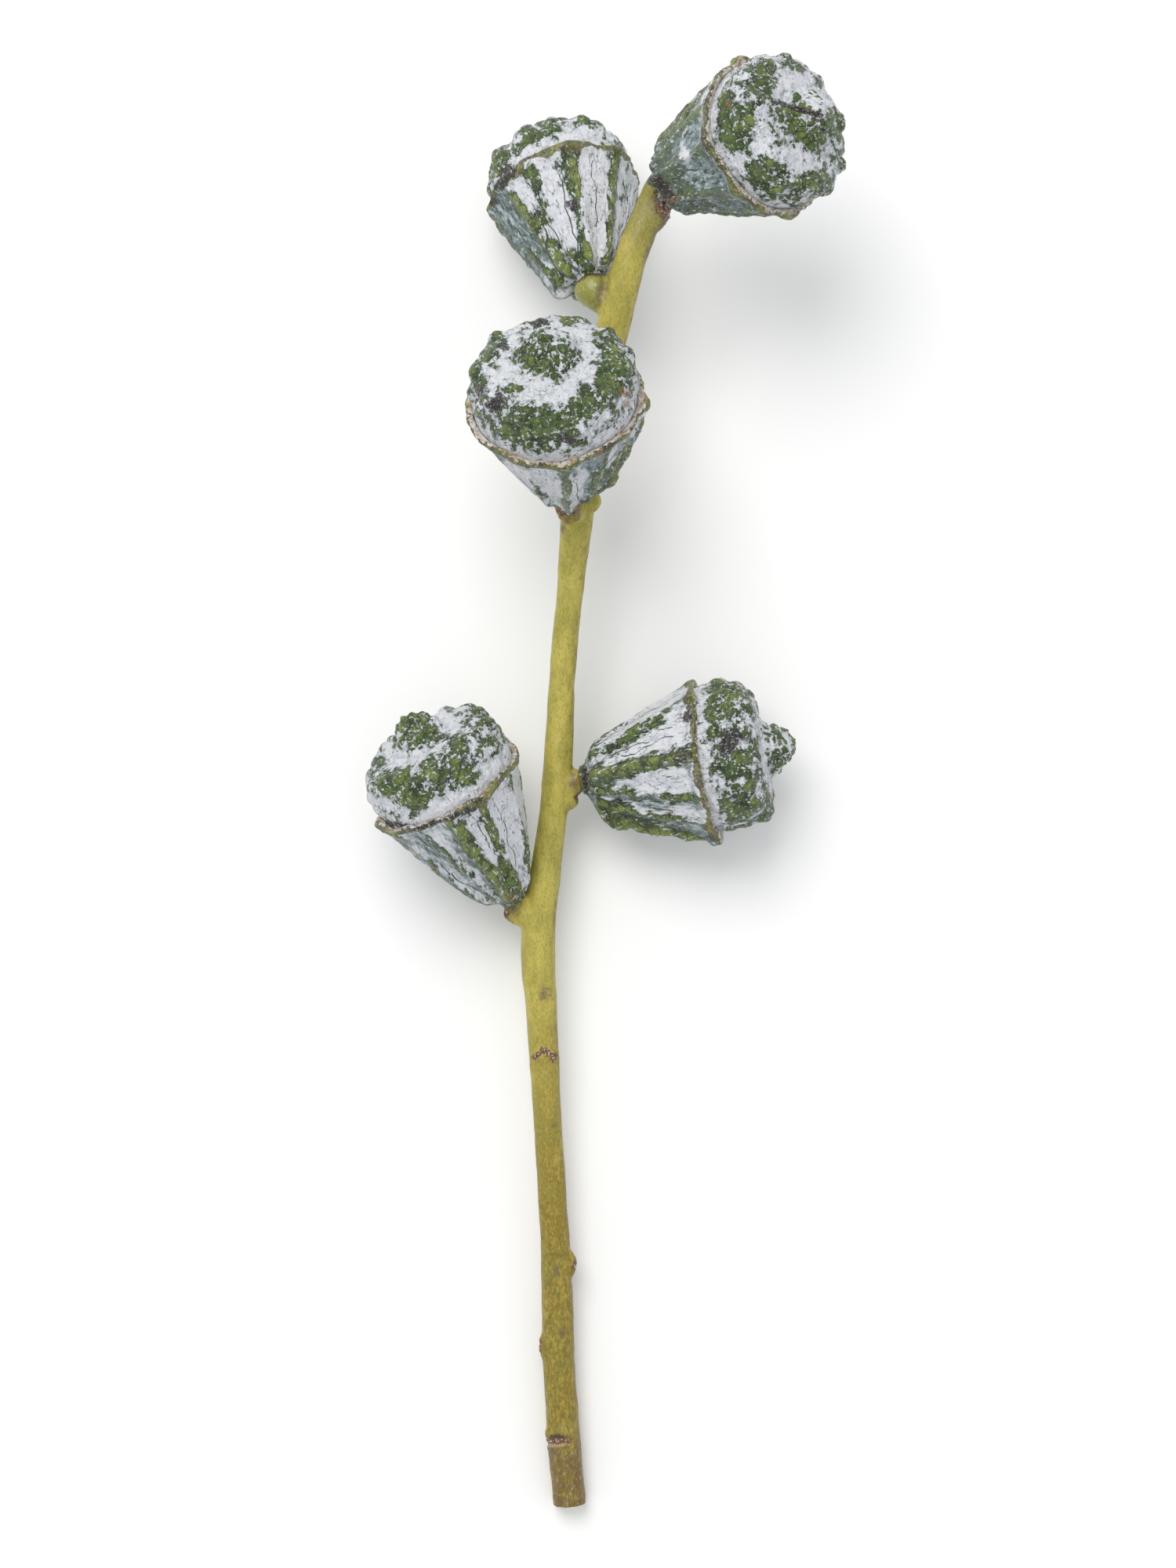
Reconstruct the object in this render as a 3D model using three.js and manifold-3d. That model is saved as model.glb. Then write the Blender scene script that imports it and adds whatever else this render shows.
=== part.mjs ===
// A cut eucalyptus sprig lying on a table: one green stem that carries five gum nuts.
// Each nut is a ribbed cup, narrow where it meets the stem, closed by a warty cap with a knob.
// Millimetres. +Z is up, +Y runs from the cut end to the top of the sprig, and z = 0 is the table.
import * as THREE from "three";
import { mergeVertices } from "three/addons/utils/BufferGeometryUtils.js";
import Module from "manifold-3d";

// Middle of the sprig's box, in the plan that the stem's stations and the nuts' bases are written in.
const PLAN_MIDDLE = { x: 1.78, y: -2.05 };

const TURN = 2 * Math.PI;
const SEAM_GAP = 0.3; // slit under each cap, and between each cup and its stalk
const CAP_SIDES = 42; // facets round a cap
const CREST_FACET = 8; // degrees from each rib's crest to the edges of the facets beside it
const STEM_SIDES = 14;
const STEM_STEPS = 56;

// Stem centre line from the cut end to the top: [x, y, z, radius].
const STEM = [
  [-2.38, -93.25, 1.95, 2.08],
  [-3.65, -77.3, 3.0, 2.09],
  [-4.15, -61.3, 4.1, 1.92],
  [-5.11, -44.4, 5.3, 1.81],
  [-5.81, -31.7, 6.3, 1.95],
  [-6.4, -19.5, 7.2, 2.2],
  [-4.95, -8.0, 8.1, 1.84],
  [-3.9, 1.5, 8.9, 1.87],
  [-3.3, 13.8, 9.9, 1.65],
  [-2.15, 25.8, 11.1, 1.74],
  [-1.3, 34.8, 12.3, 2.15],
  [0.05, 43.4, 14.1, 2.03],
  [1.5, 50.3, 16.2, 2.05],
  [3.7, 59.8, 18.8, 2.12],
  [5.6, 66.6, 19.7, 2.02],
  [8.2, 73.1, 19.6, 1.9],
];

// Each nut grows from `base` along an axis that points `bearing` degrees round from +X and `rise` degrees up.
// Ribs are [degrees round the axis from its upper side, height]. Their rounded feet hang back past the wall
// by `lobeHang` for each millimetre of height.
const NUTS = [
  {
    name: "nut_1",
    base: [9.45, 75.1, 21.0],
    bearing: 18,
    rise: 43,
    rimRadius: 10.3,
    cupLength: 17.4,
    capHeight: 10.6,
    stalkLength: 2.6,
    stalkRadius: 1.75,
    lobeHang: 0.7,
    seed: 11,
    ribs: [
      [-88, 1.8], [-58, 0.9], [-34, 0.9], [-4, 1.3], [34, 1.1], [63, 1.1],
      [92, 1.2], [124, 1.2], [152, 0.7], [184, 1.1], [214, 0.8], [243, 1.0],
    ],
  },
  {
    name: "nut_2",
    base: [0.35, 63.0, 17.45],
    bearing: 105,
    rise: -31,
    rimRadius: 9.95,
    cupLength: 14.8,
    capHeight: 10.4,
    stalkLength: 4.6,
    stalkRadius: 2.5,
    lobeHang: 0.9,
    seed: 23,
    ribs: [
      [-86, 1.2], [-50, 1.1], [-25, 0.8], [12, 1.0], [52, 0.9], [70, 0.4],
      [98, 0.4], [128, 0.8], [156, 1.2], [186, 1.0], [214, 1.2], [244, 1.6],
    ],
  },
  {
    name: "nut_3",
    base: [-2.77, 36.0, 16.9],
    bearing: 96.5,
    rise: 47,
    rimRadius: 11.3,
    cupLength: 15.9,
    capHeight: 12.0,
    stalkLength: 3.4,
    stalkRadius: 1.8,
    lobeHang: 0.3,
    seed: 35,
    ribs: [
      [-92, 0.5], [-60, 0.3], [-29, 0.8], [1, 1.6], [33, 1.0], [56, 1.1],
      [79, 1.9], [114, 1.0], [150, 0.6], [181, 0.7], [212, 0.6], [241, 0.6],
    ],
  },
  {
    name: "nut_4",
    base: [-9.5, -14.7, 8.2],
    bearing: 119.7,
    rise: 23,
    rimRadius: 10.3,
    cupLength: 18.3,
    capHeight: 11.0,
    stalkLength: 4.4,
    stalkRadius: 1.75,
    lobeHang: 0.1,
    seed: 47,
    ribs: [
      [-88, 1.1], [-57, 0.9], [-31, 0.8], [-9, 1.4], [17, 0.9], [54, 0.8],
      [86, 0.5], [116, 0.8], [148, 1.1], [178, 0.9], [210, 1.1], [240, 0.8],
    ],
  },
  {
    name: "nut_5",
    base: [-0.8, 0.45, 8.75],
    bearing: 9.7,
    rise: 6,
    rimRadius: 10.3,
    cupLength: 15.9,
    capHeight: 12.1,
    stalkLength: 3.2,
    stalkRadius: 1.7,
    lobeHang: 0,
    seed: 59,
    ribs: [
      [-94, 1.0], [-55, 0.9], [-5, 1.5], [28, 0.8], [56, 1.1], [88, 2.3],
      [118, 0.8], [148, 0.9], [180, 1.4], [212, 0.8], [240, 1.0],
    ],
  },
];

// Cup wall between the ribs: [share of the cup's length, share of the rim's radius].
const CUP_LINE = [
  [0, 0.17], [0.06, 0.2], [0.12, 0.27], [0.22, 0.375], [0.4, 0.52], [0.6, 0.665], [0.8, 0.8], [0.92, 0.87], [1, 0.93],
];
const CUP_RINGS = [0, 0.05, 0.1, 0.16, 0.26, 0.4, 0.54, 0.68, 0.82, 0.92, 0.96, 1];
const RIB_CREST = 0.6; // half-width of a rib's sharp crest
const RIB_SKIRT = 1.7; // how far its hollow flank reaches
const RIM_SWELL = 0.35; // how far the rim stands out from the wall
const SEAT_RADIUS = 0.87; // share of the rim's radius that the cap fills
const SEAT_DEPTH = 0.6; // how deep the cap sits inside the rim

// Cap outline from its edge up over the shoulder to the knob's tip: [share of rim radius, share of cap height].
const CAP_LINE = [
  [0.87, 0], [0.885, 0.14], [0.89, 0.3], [0.865, 0.44], [0.785, 0.56], [0.65, 0.635], [0.49, 0.655],
  [0.37, 0.67], [0.31, 0.73], [0.26, 0.82], [0.18, 0.91], [0.08, 0.98], [0, 1],
];
const CAP_RINGS = 15;
// Rows of warts: where on the cap's line, how many round it, and their radius and height.
const WART_ROWS = [
  { at: 0.11, count: 16, radius: 1.7, height: 0.3 },
  { at: 0.2, count: 15, radius: 2.0, height: 0.6 },
  { at: 0.3, count: 14, radius: 2.1, height: 0.7 },
  { at: 0.4, count: 11, radius: 1.8, height: 0.45 },
  { at: 0.5, count: 7, radius: 1.4, height: 0.2 },
  { at: 0.62, count: 8, radius: 1.3, height: 0.45 },
  { at: 0.72, count: 7, radius: 1.2, height: 0.45 },
  { at: 0.82, count: 5, radius: 1.1, height: 0.4 },
  { at: 0.92, count: 3, radius: 0.9, height: 0.3 },
];

// Scars and buds raised on the stem: where along it, degrees round from its upper side, length, width and height.
const KNOTS = [
  { y: -83.6, side: -20, long: 1.6, wide: 2.0, high: 0.55 },
  { y: -72.6, side: -80, long: 2.4, wide: 1.4, high: 0.6 },
  { y: -61.9, side: 75, long: 2.2, wide: 1.4, high: 0.8 },
  { y: -34.6, side: 5, long: 1.3, wide: 1.9, high: 0.45 },
  { y: -17.0, side: -86, long: 1.6, wide: 1.5, high: 2.5 },
  { y: -1.9, side: 88, long: 1.5, wide: 1.3, high: 1.2 },
  { y: 36.2, side: 62, long: 1.6, wide: 1.4, high: 1.0 },
  { y: 71.8, side: 62, long: 2.8, wide: 1.7, high: 0.8 },
];

const fraction = (x) => x - Math.floor(x);
// A fixed draw between 0 and 1, so that the sprig is the same each time.
const draw = (seed, index) => fraction(Math.sin(seed * 78.233 + index * 12.9898) * 43758.5453);
const smooth = (low, high, x) => THREE.MathUtils.smoothstep(x, low, high);
const radians = THREE.MathUtils.degToRad;

// The point a share of the way along a smooth line through `points`, each a list of numbers.
function along(points, share) {
  const last = points.length - 1;
  const place = Math.min(share, 1) * last;
  const i = Math.min(Math.floor(place), last - 1);
  const t = place - i;
  const [a, b, c, d] = [Math.max(i - 1, 0), i, i + 1, Math.min(i + 2, last)].map((k) => points[k]);
  return b.map((from, n) => {
    const to = c[n];
    const leave = (to - a[n]) / 2;
    const arrive = (d[n] - from) / 2;
    return (
      (2 * from - 2 * to + leave + arrive) * t ** 3 + (3 * to - 3 * from - 2 * leave - arrive) * t ** 2 + leave * t + from
    );
  });
}

// The share of the way along `points` at which their first number reaches `value`.
function shareAt(points, value) {
  let [low, high] = [0, 1];
  for (let n = 0; n < 30; n++) {
    const middle = (low + high) / 2;
    if (along(points, middle)[0] < value) low = middle;
    else high = middle;
  }
  return low;
}

// No nut is quite round: both its cup and its cap follow this swelling.
const roundness = (nut, turn) =>
  1 + 0.012 * Math.cos(2 * turn + TURN * draw(nut.seed, 1)) + 0.01 * Math.cos(3 * turn + TURN * draw(nut.seed, 2));

// How far the rim, and the cap's edge in it, dips and rises round the nut.
const rimWave = (nut, turn) =>
  0.22 * Math.sin(2 * turn + TURN * draw(nut.seed, 3)) + 0.16 * Math.sin(5 * turn + TURN * draw(nut.seed, 4));

// Height of the ribs above the cup's wall at `turn` round it, where the wall is `radius` from the axis.
function ribHeight(nut, turn, radius) {
  let height = 0;
  for (const [degrees, high] of nut.ribs) {
    const apart = Math.atan2(Math.sin(turn - radians(degrees)), Math.cos(turn - radians(degrees)));
    const far = Math.abs(apart) * radius;
    const crest = Math.exp(-((far / RIB_CREST) ** 2));
    const skirt = Math.exp(-far / RIB_SKIRT);
    height = Math.max(height, high * (0.4 * crest + 0.6 * skirt));
  }
  return height;
}

// A solid turned round the nut's own +Y axis. `place` moves each point of a row of the profile.
// `turns` are the angles of its edges, in order.
function turned(rows, turns, place) {
  const geometry = new THREE.LatheGeometry(
    rows.map(({ radius, height }) => new THREE.Vector2(radius, height)),
    turns.length,
  );
  const position = geometry.getAttribute("position");
  for (let i = 0; i < position.count; i++) {
    const turn = turns[Math.floor(i / rows.length) % turns.length];
    const { radius, height } = place(rows[i % rows.length], turn);
    position.setXYZ(i, radius * Math.sin(turn), height, radius * Math.cos(turn));
  }
  return geometry;
}

// Angles of a cup's edges: one along each rib's crest, one on either side of it, and one in each valley.
function cupTurns(nut) {
  const crests = nut.ribs.map(([degrees]) => degrees);
  return crests.flatMap((crest, n) => {
    const next = n + 1 < crests.length ? crests[n + 1] : crests[0] + 360;
    const beside = Math.min(CREST_FACET, (next - crest) / 4);
    return [crest, crest + beside, (crest + next) / 2, next - beside].map(radians);
  });
}

// The cup: flat base, ribbed wall, swollen rim, and a seat for the cap sunk inside the rim.
function cupGeometry(nut) {
  const { rimRadius, cupLength } = nut;
  const wall = CUP_RINGS.map((share) => ({
    share,
    radius: along(CUP_LINE, shareAt(CUP_LINE, share))[1] * rimRadius,
    height: share * cupLength,
  }));
  const seatRadius = SEAT_RADIUS * rimRadius + SEAM_GAP;
  const rows = [
    { radius: 0, height: 0 },
    ...wall,
    { radius: seatRadius, height: cupLength, wave: 1 },
    { radius: seatRadius, height: cupLength - SEAT_DEPTH, wave: 1 },
    { radius: 0, height: cupLength - SEAT_DEPTH },
  ];
  return turned(rows, cupTurns(nut), ({ share, radius, height, wave = 0 }, turn) => {
    if (share === undefined) {
      return { radius: radius * roundness(nut, turn), height: height + wave * rimWave(nut, turn) };
    }
    const grown = smooth(0.01, 0.13, share) * (1.45 - 0.85 * share);
    const swell = RIM_SWELL * smooth(0.9, 0.97, share);
    const hang = nut.lobeHang * smooth(0.03, 0.1, share) * (1 - smooth(0.12, 0.32, share));
    const rib = ribHeight(nut, turn, radius);
    return {
      radius: (radius + swell) * roundness(nut, turn) + grown * rib,
      height: height + share ** 2 * rimWave(nut, turn) - hang * rib,
    };
  });
}

// Warts of one cap, each with its centre on the plain cap, its radius and its height.
function warts(nut) {
  const found = [];
  WART_ROWS.forEach((row, rowNumber) => {
    for (let n = 0; n < row.count; n++) {
      const luck = (k) => draw(nut.seed + rowNumber, 4 * n + k);
      const turn = ((n + 0.5 * (rowNumber % 2) + 0.7 * (luck(10) - 0.5)) / row.count) * TURN;
      const [radius, height] = along(CAP_LINE, row.at + 0.05 * (luck(11) - 0.5));
      const r = radius * nut.rimRadius;
      found.push({
        centre: new THREE.Vector3(r * Math.sin(turn), height * nut.capHeight, r * Math.cos(turn)),
        radius: row.radius * (0.8 + 0.4 * luck(12)),
        height: row.height * (0.55 + 0.9 * luck(13)),
      });
    }
  });
  return found;
}

// The cap: a flat underside, a drum with a rounded shoulder, a nearly flat top and a knob, all warty.
function capGeometry(nut) {
  const { rimRadius, capHeight, cupLength } = nut;
  const lift = cupLength - SEAT_DEPTH + SEAM_GAP;
  const bumps = warts(nut);
  const line = Array.from({ length: CAP_RINGS + 1 }, (_, n) => {
    const share = n / CAP_RINGS;
    const [radius, height] = along(CAP_LINE, share);
    const [radiusOn, heightOn] = along(CAP_LINE, Math.min(share + 0.01, 1));
    const [radiusBack, heightBack] = along(CAP_LINE, Math.max(share - 0.01, 0));
    const out = new THREE.Vector2((heightOn - heightBack) * capHeight, (radiusBack - radiusOn) * rimRadius).normalize();
    return { radius: radius * rimRadius, height: height * capHeight, out };
  });
  const rows = [{ radius: 0, height: 0 }, ...line];
  const turns = Array.from({ length: CAP_SIDES }, (_, n) => (n / CAP_SIDES) * TURN);
  const point = new THREE.Vector3();
  return turned(rows, turns, ({ radius, height, out }, turn) => {
    const wave = rimWave(nut, turn) * (1 - height / capHeight) * smooth(0, 0.5 * rimRadius, radius);
    if (!out) return { radius, height: lift };
    point.set(radius * Math.sin(turn), height, radius * Math.cos(turn));
    let raised = 0;
    for (const wart of bumps) {
      const far = point.distanceTo(wart.centre) / wart.radius;
      if (far < 1) raised = Math.max(raised, wart.height * (1 - far * far) ** 2);
    }
    raised *= smooth(0.5, 1.6, height);
    if (radius < 0.01) return { radius: 0, height: lift + height };
    return {
      radius: Math.max(radius * roundness(nut, turn) + raised * out.x, 0.05),
      height: lift + height + wave + raised * out.y,
    };
  });
}

// The nut's own +Y axis, its side and its upper face, as a matrix that stands at its base.
function standing(nut) {
  const [bearing, rise] = [radians(nut.bearing), radians(nut.rise)];
  const axis = new THREE.Vector3(
    Math.cos(rise) * Math.cos(bearing),
    Math.cos(rise) * Math.sin(bearing),
    Math.sin(rise),
  );
  const side = new THREE.Vector3(Math.sin(bearing), -Math.cos(bearing), 0);
  const upper = new THREE.Vector3().crossVectors(side, axis);
  return new THREE.Matrix4().makeBasis(side, axis, upper).setPosition(...nut.base);
}

const wasm = await Module();
wasm.setup();

// A closed three.js geometry as a solid that can be joined and cut.
function solid(geometry) {
  const bare = geometry.clone();
  bare.deleteAttribute("normal");
  bare.deleteAttribute("uv");
  const merged = mergeVertices(bare, 1e-4);
  return new wasm.Manifold(
    new wasm.Mesh({
      numProp: 3,
      vertProperties: new Float32Array(merged.getAttribute("position").array),
      triVerts: new Uint32Array(merged.index.array),
    }),
  );
}

function geometryOf(made) {
  const { vertProperties, triVerts } = made.getMesh();
  const geometry = new THREE.BufferGeometry();
  geometry.setAttribute("position", new THREE.BufferAttribute(vertProperties, 3));
  geometry.setIndex(new THREE.BufferAttribute(triVerts, 1));
  geometry.computeVertexNormals();
  return geometry;
}

// Everything below the table, which each piece that rests there is trimmed by.
const TABLE_SIZE = 400;
const table = solid(new THREE.BoxGeometry(TABLE_SIZE, TABLE_SIZE, TABLE_SIZE).translate(0, 0, -TABLE_SIZE / 2));

// Frame of the stem at a share of its length: the centre, its radius, and the directions to its side and upward.
function stemFrame(share) {
  const [x, y, z, radius] = along(STEM, share);
  const [x0, y0, z0] = along(STEM, Math.max(share - 0.004, 0));
  const [x1, y1, z1] = along(STEM, Math.min(share + 0.004, 1));
  const tangent = new THREE.Vector3(x1 - x0, y1 - y0, z1 - z0).normalize();
  const side = new THREE.Vector3().crossVectors(tangent, new THREE.Vector3(0, 0, 1)).normalize();
  const upper = new THREE.Vector3().crossVectors(side, tangent);
  return { centre: new THREE.Vector3(x, y, z), radius, tangent, side, upper };
}

// The bare stem: a tube of changing radius, closed by its cut end and by a rounded top.
function stemTube() {
  const rings = [];
  for (let step = 0; step <= STEM_STEPS; step++) {
    const share = step / STEM_STEPS;
    const { centre, radius, tangent, side, upper } = stemFrame(share);
    const rounded = step === STEM_STEPS ? 0.62 : 1;
    const forward = step === STEM_STEPS ? 0.6 : 0;
    rings.push(
      Array.from({ length: STEM_SIDES }, (_, k) => {
        const turn = (k / STEM_SIDES) * TURN;
        const uneven = 1 + 0.03 * Math.sin(3 * turn + 9 * share) + 0.02 * Math.sin(2 * turn - 23 * share);
        return centre
          .clone()
          .addScaledVector(tangent, forward)
          .addScaledVector(side, radius * rounded * uneven * Math.sin(turn))
          .addScaledVector(upper, radius * rounded * uneven * Math.cos(turn));
      }),
    );
  }
  const vertices = rings.flat();
  const faces = [];
  for (let step = 0; step < STEM_STEPS; step++) {
    for (let k = 0; k < STEM_SIDES; k++) {
      const [a, b] = [step * STEM_SIDES + k, step * STEM_SIDES + ((k + 1) % STEM_SIDES)];
      const [c, d] = [a + STEM_SIDES, b + STEM_SIDES];
      faces.push(a, b, c, b, d, c);
    }
  }
  const last = STEM_STEPS * STEM_SIDES;
  for (let k = 1; k < STEM_SIDES - 1; k++) {
    faces.push(0, k + 1, k, last, last + k, last + k + 1);
  }
  const geometry = new THREE.BufferGeometry().setFromPoints(vertices);
  geometry.setIndex(faces);
  return geometry;
}

// The short stalk of one nut, rooted in the stem and ending just below the cup's base.
function stalkGeometry(nut) {
  const { stalkLength, stalkRadius } = nut;
  const root = 0.85 * stalkRadius;
  const stalk = new THREE.CylinderGeometry(stalkRadius, root, stalkLength, STEM_SIDES);
  return stalk.translate(0, -SEAM_GAP - stalkLength / 2, 0).applyMatrix4(standing(nut));
}

// A leaf scar or bud: a small mound sunk well into the stem.
function knotGeometry({ y, side, long, wide, high }) {
  const byLength = STEM.map(([x, along_y, z, radius]) => [along_y, x, z, radius]);
  const frame = stemFrame(shareAt(byLength, y));
  const turn = radians(side);
  const out = new THREE.Vector3()
    .addScaledVector(frame.side, Math.sin(turn))
    .addScaledVector(frame.upper, Math.cos(turn));
  const across = new THREE.Vector3().crossVectors(frame.tangent, out);
  const sunk = 0.6 * frame.radius;
  const centre = frame.centre.clone().addScaledVector(out, sunk);
  return new THREE.SphereGeometry(1, 10, 8)
    .scale(wide, long, frame.radius - sunk + high)
    .applyMatrix4(new THREE.Matrix4().makeBasis(across, frame.tangent, out).setPosition(centre));
}

function stemGeometry() {
  let stem = solid(stemTube());
  for (const nut of NUTS) stem = stem.add(solid(stalkGeometry(nut)));
  for (const knot of KNOTS) stem = stem.add(solid(knotGeometry(knot)));
  return geometryOf(stem.subtract(table));
}

function piece(name, geometry, color, roughness) {
  const mesh = new THREE.Mesh(geometry, new THREE.MeshStandardMaterial({ color, roughness, metalness: 0 }));
  mesh.name = name;
  return mesh;
}

const onTable = (geometry, nut) => geometryOf(solid(geometry.applyMatrix4(standing(nut))).subtract(table));

const sprig = new THREE.Group();
sprig.add(piece("stem", stemGeometry(), "#a8a23f", 0.6));
for (const nut of NUTS) {
  sprig.add(piece(`${nut.name}_cup`, onTable(cupGeometry(nut), nut), "#a3b0b2", 0.55));
  sprig.add(piece(`${nut.name}_cap`, onTable(capGeometry(nut), nut), "#5a7345", 0.5));
}
sprig.position.set(-PLAN_MIDDLE.x, -PLAN_MIDDLE.y, 0);

export default sprig;
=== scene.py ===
import math

import bpy
import numpy as np
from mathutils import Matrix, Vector


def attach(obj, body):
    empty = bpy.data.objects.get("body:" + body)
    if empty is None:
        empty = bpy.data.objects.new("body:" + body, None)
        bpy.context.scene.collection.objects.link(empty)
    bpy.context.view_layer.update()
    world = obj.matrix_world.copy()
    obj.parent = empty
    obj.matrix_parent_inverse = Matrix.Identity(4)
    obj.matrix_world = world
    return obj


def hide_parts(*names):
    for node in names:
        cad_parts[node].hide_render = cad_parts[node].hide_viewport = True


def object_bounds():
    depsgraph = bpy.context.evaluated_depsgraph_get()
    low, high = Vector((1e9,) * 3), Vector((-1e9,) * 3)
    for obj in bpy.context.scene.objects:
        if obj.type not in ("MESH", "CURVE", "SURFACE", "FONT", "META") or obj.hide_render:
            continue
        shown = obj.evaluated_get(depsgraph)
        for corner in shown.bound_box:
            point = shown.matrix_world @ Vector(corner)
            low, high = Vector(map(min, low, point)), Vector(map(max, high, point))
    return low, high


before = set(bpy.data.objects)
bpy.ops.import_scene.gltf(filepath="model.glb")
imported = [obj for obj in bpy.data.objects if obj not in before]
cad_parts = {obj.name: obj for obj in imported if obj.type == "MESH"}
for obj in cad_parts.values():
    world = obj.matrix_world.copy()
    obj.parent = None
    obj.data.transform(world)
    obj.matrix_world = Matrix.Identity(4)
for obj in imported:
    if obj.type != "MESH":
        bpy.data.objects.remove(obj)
cad_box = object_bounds()

# A cut eucalyptus sprig with five waxy gum nuts, lying on a pale table in soft light.
# Shapes are worked out in millimetres, in the plan that the CAD's sizes are written in.
MM = 0.001
TURN = 2 * math.pi
PLAN_MIDDLE = np.array([1.78, -2.05, 0.0])  # of the sprig's box, which the frame has at its origin
EYE_HEIGHT = 560.0  # the camera looks straight down from here, over the plan's origin
PHOTO_PLANE = 10.0  # height at which the photograph's scale was taken
NO_CRACK = 9.0  # distance that stands for no crack near
LIGHT_SIDE = np.array([0.4, 0.55, 0.73])  # painted shade: the wax film is darkened on the sides turned from here

# Stem centre line from the cut end to the top: x, y, z, radius.
STEM = [
    [-2.38, -93.25, 1.95, 2.08],
    [-3.65, -77.3, 3.0, 2.09],
    [-4.15, -61.3, 4.1, 1.92],
    [-5.11, -44.4, 5.3, 1.81],
    [-5.81, -31.7, 6.3, 1.95],
    [-6.4, -19.5, 7.2, 2.2],
    [-4.95, -8.0, 8.1, 1.84],
    [-3.9, 1.5, 8.9, 1.87],
    [-3.3, 13.8, 9.9, 1.65],
    [-2.15, 25.8, 11.1, 1.74],
    [-1.3, 34.8, 12.3, 2.15],
    [0.05, 43.4, 14.1, 2.03],
    [1.5, 50.3, 16.2, 2.05],
    [3.7, 59.8, 18.8, 2.12],
    [5.6, 66.6, 19.7, 2.02],
    [8.2, 73.1, 19.6, 1.9],
]
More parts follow.
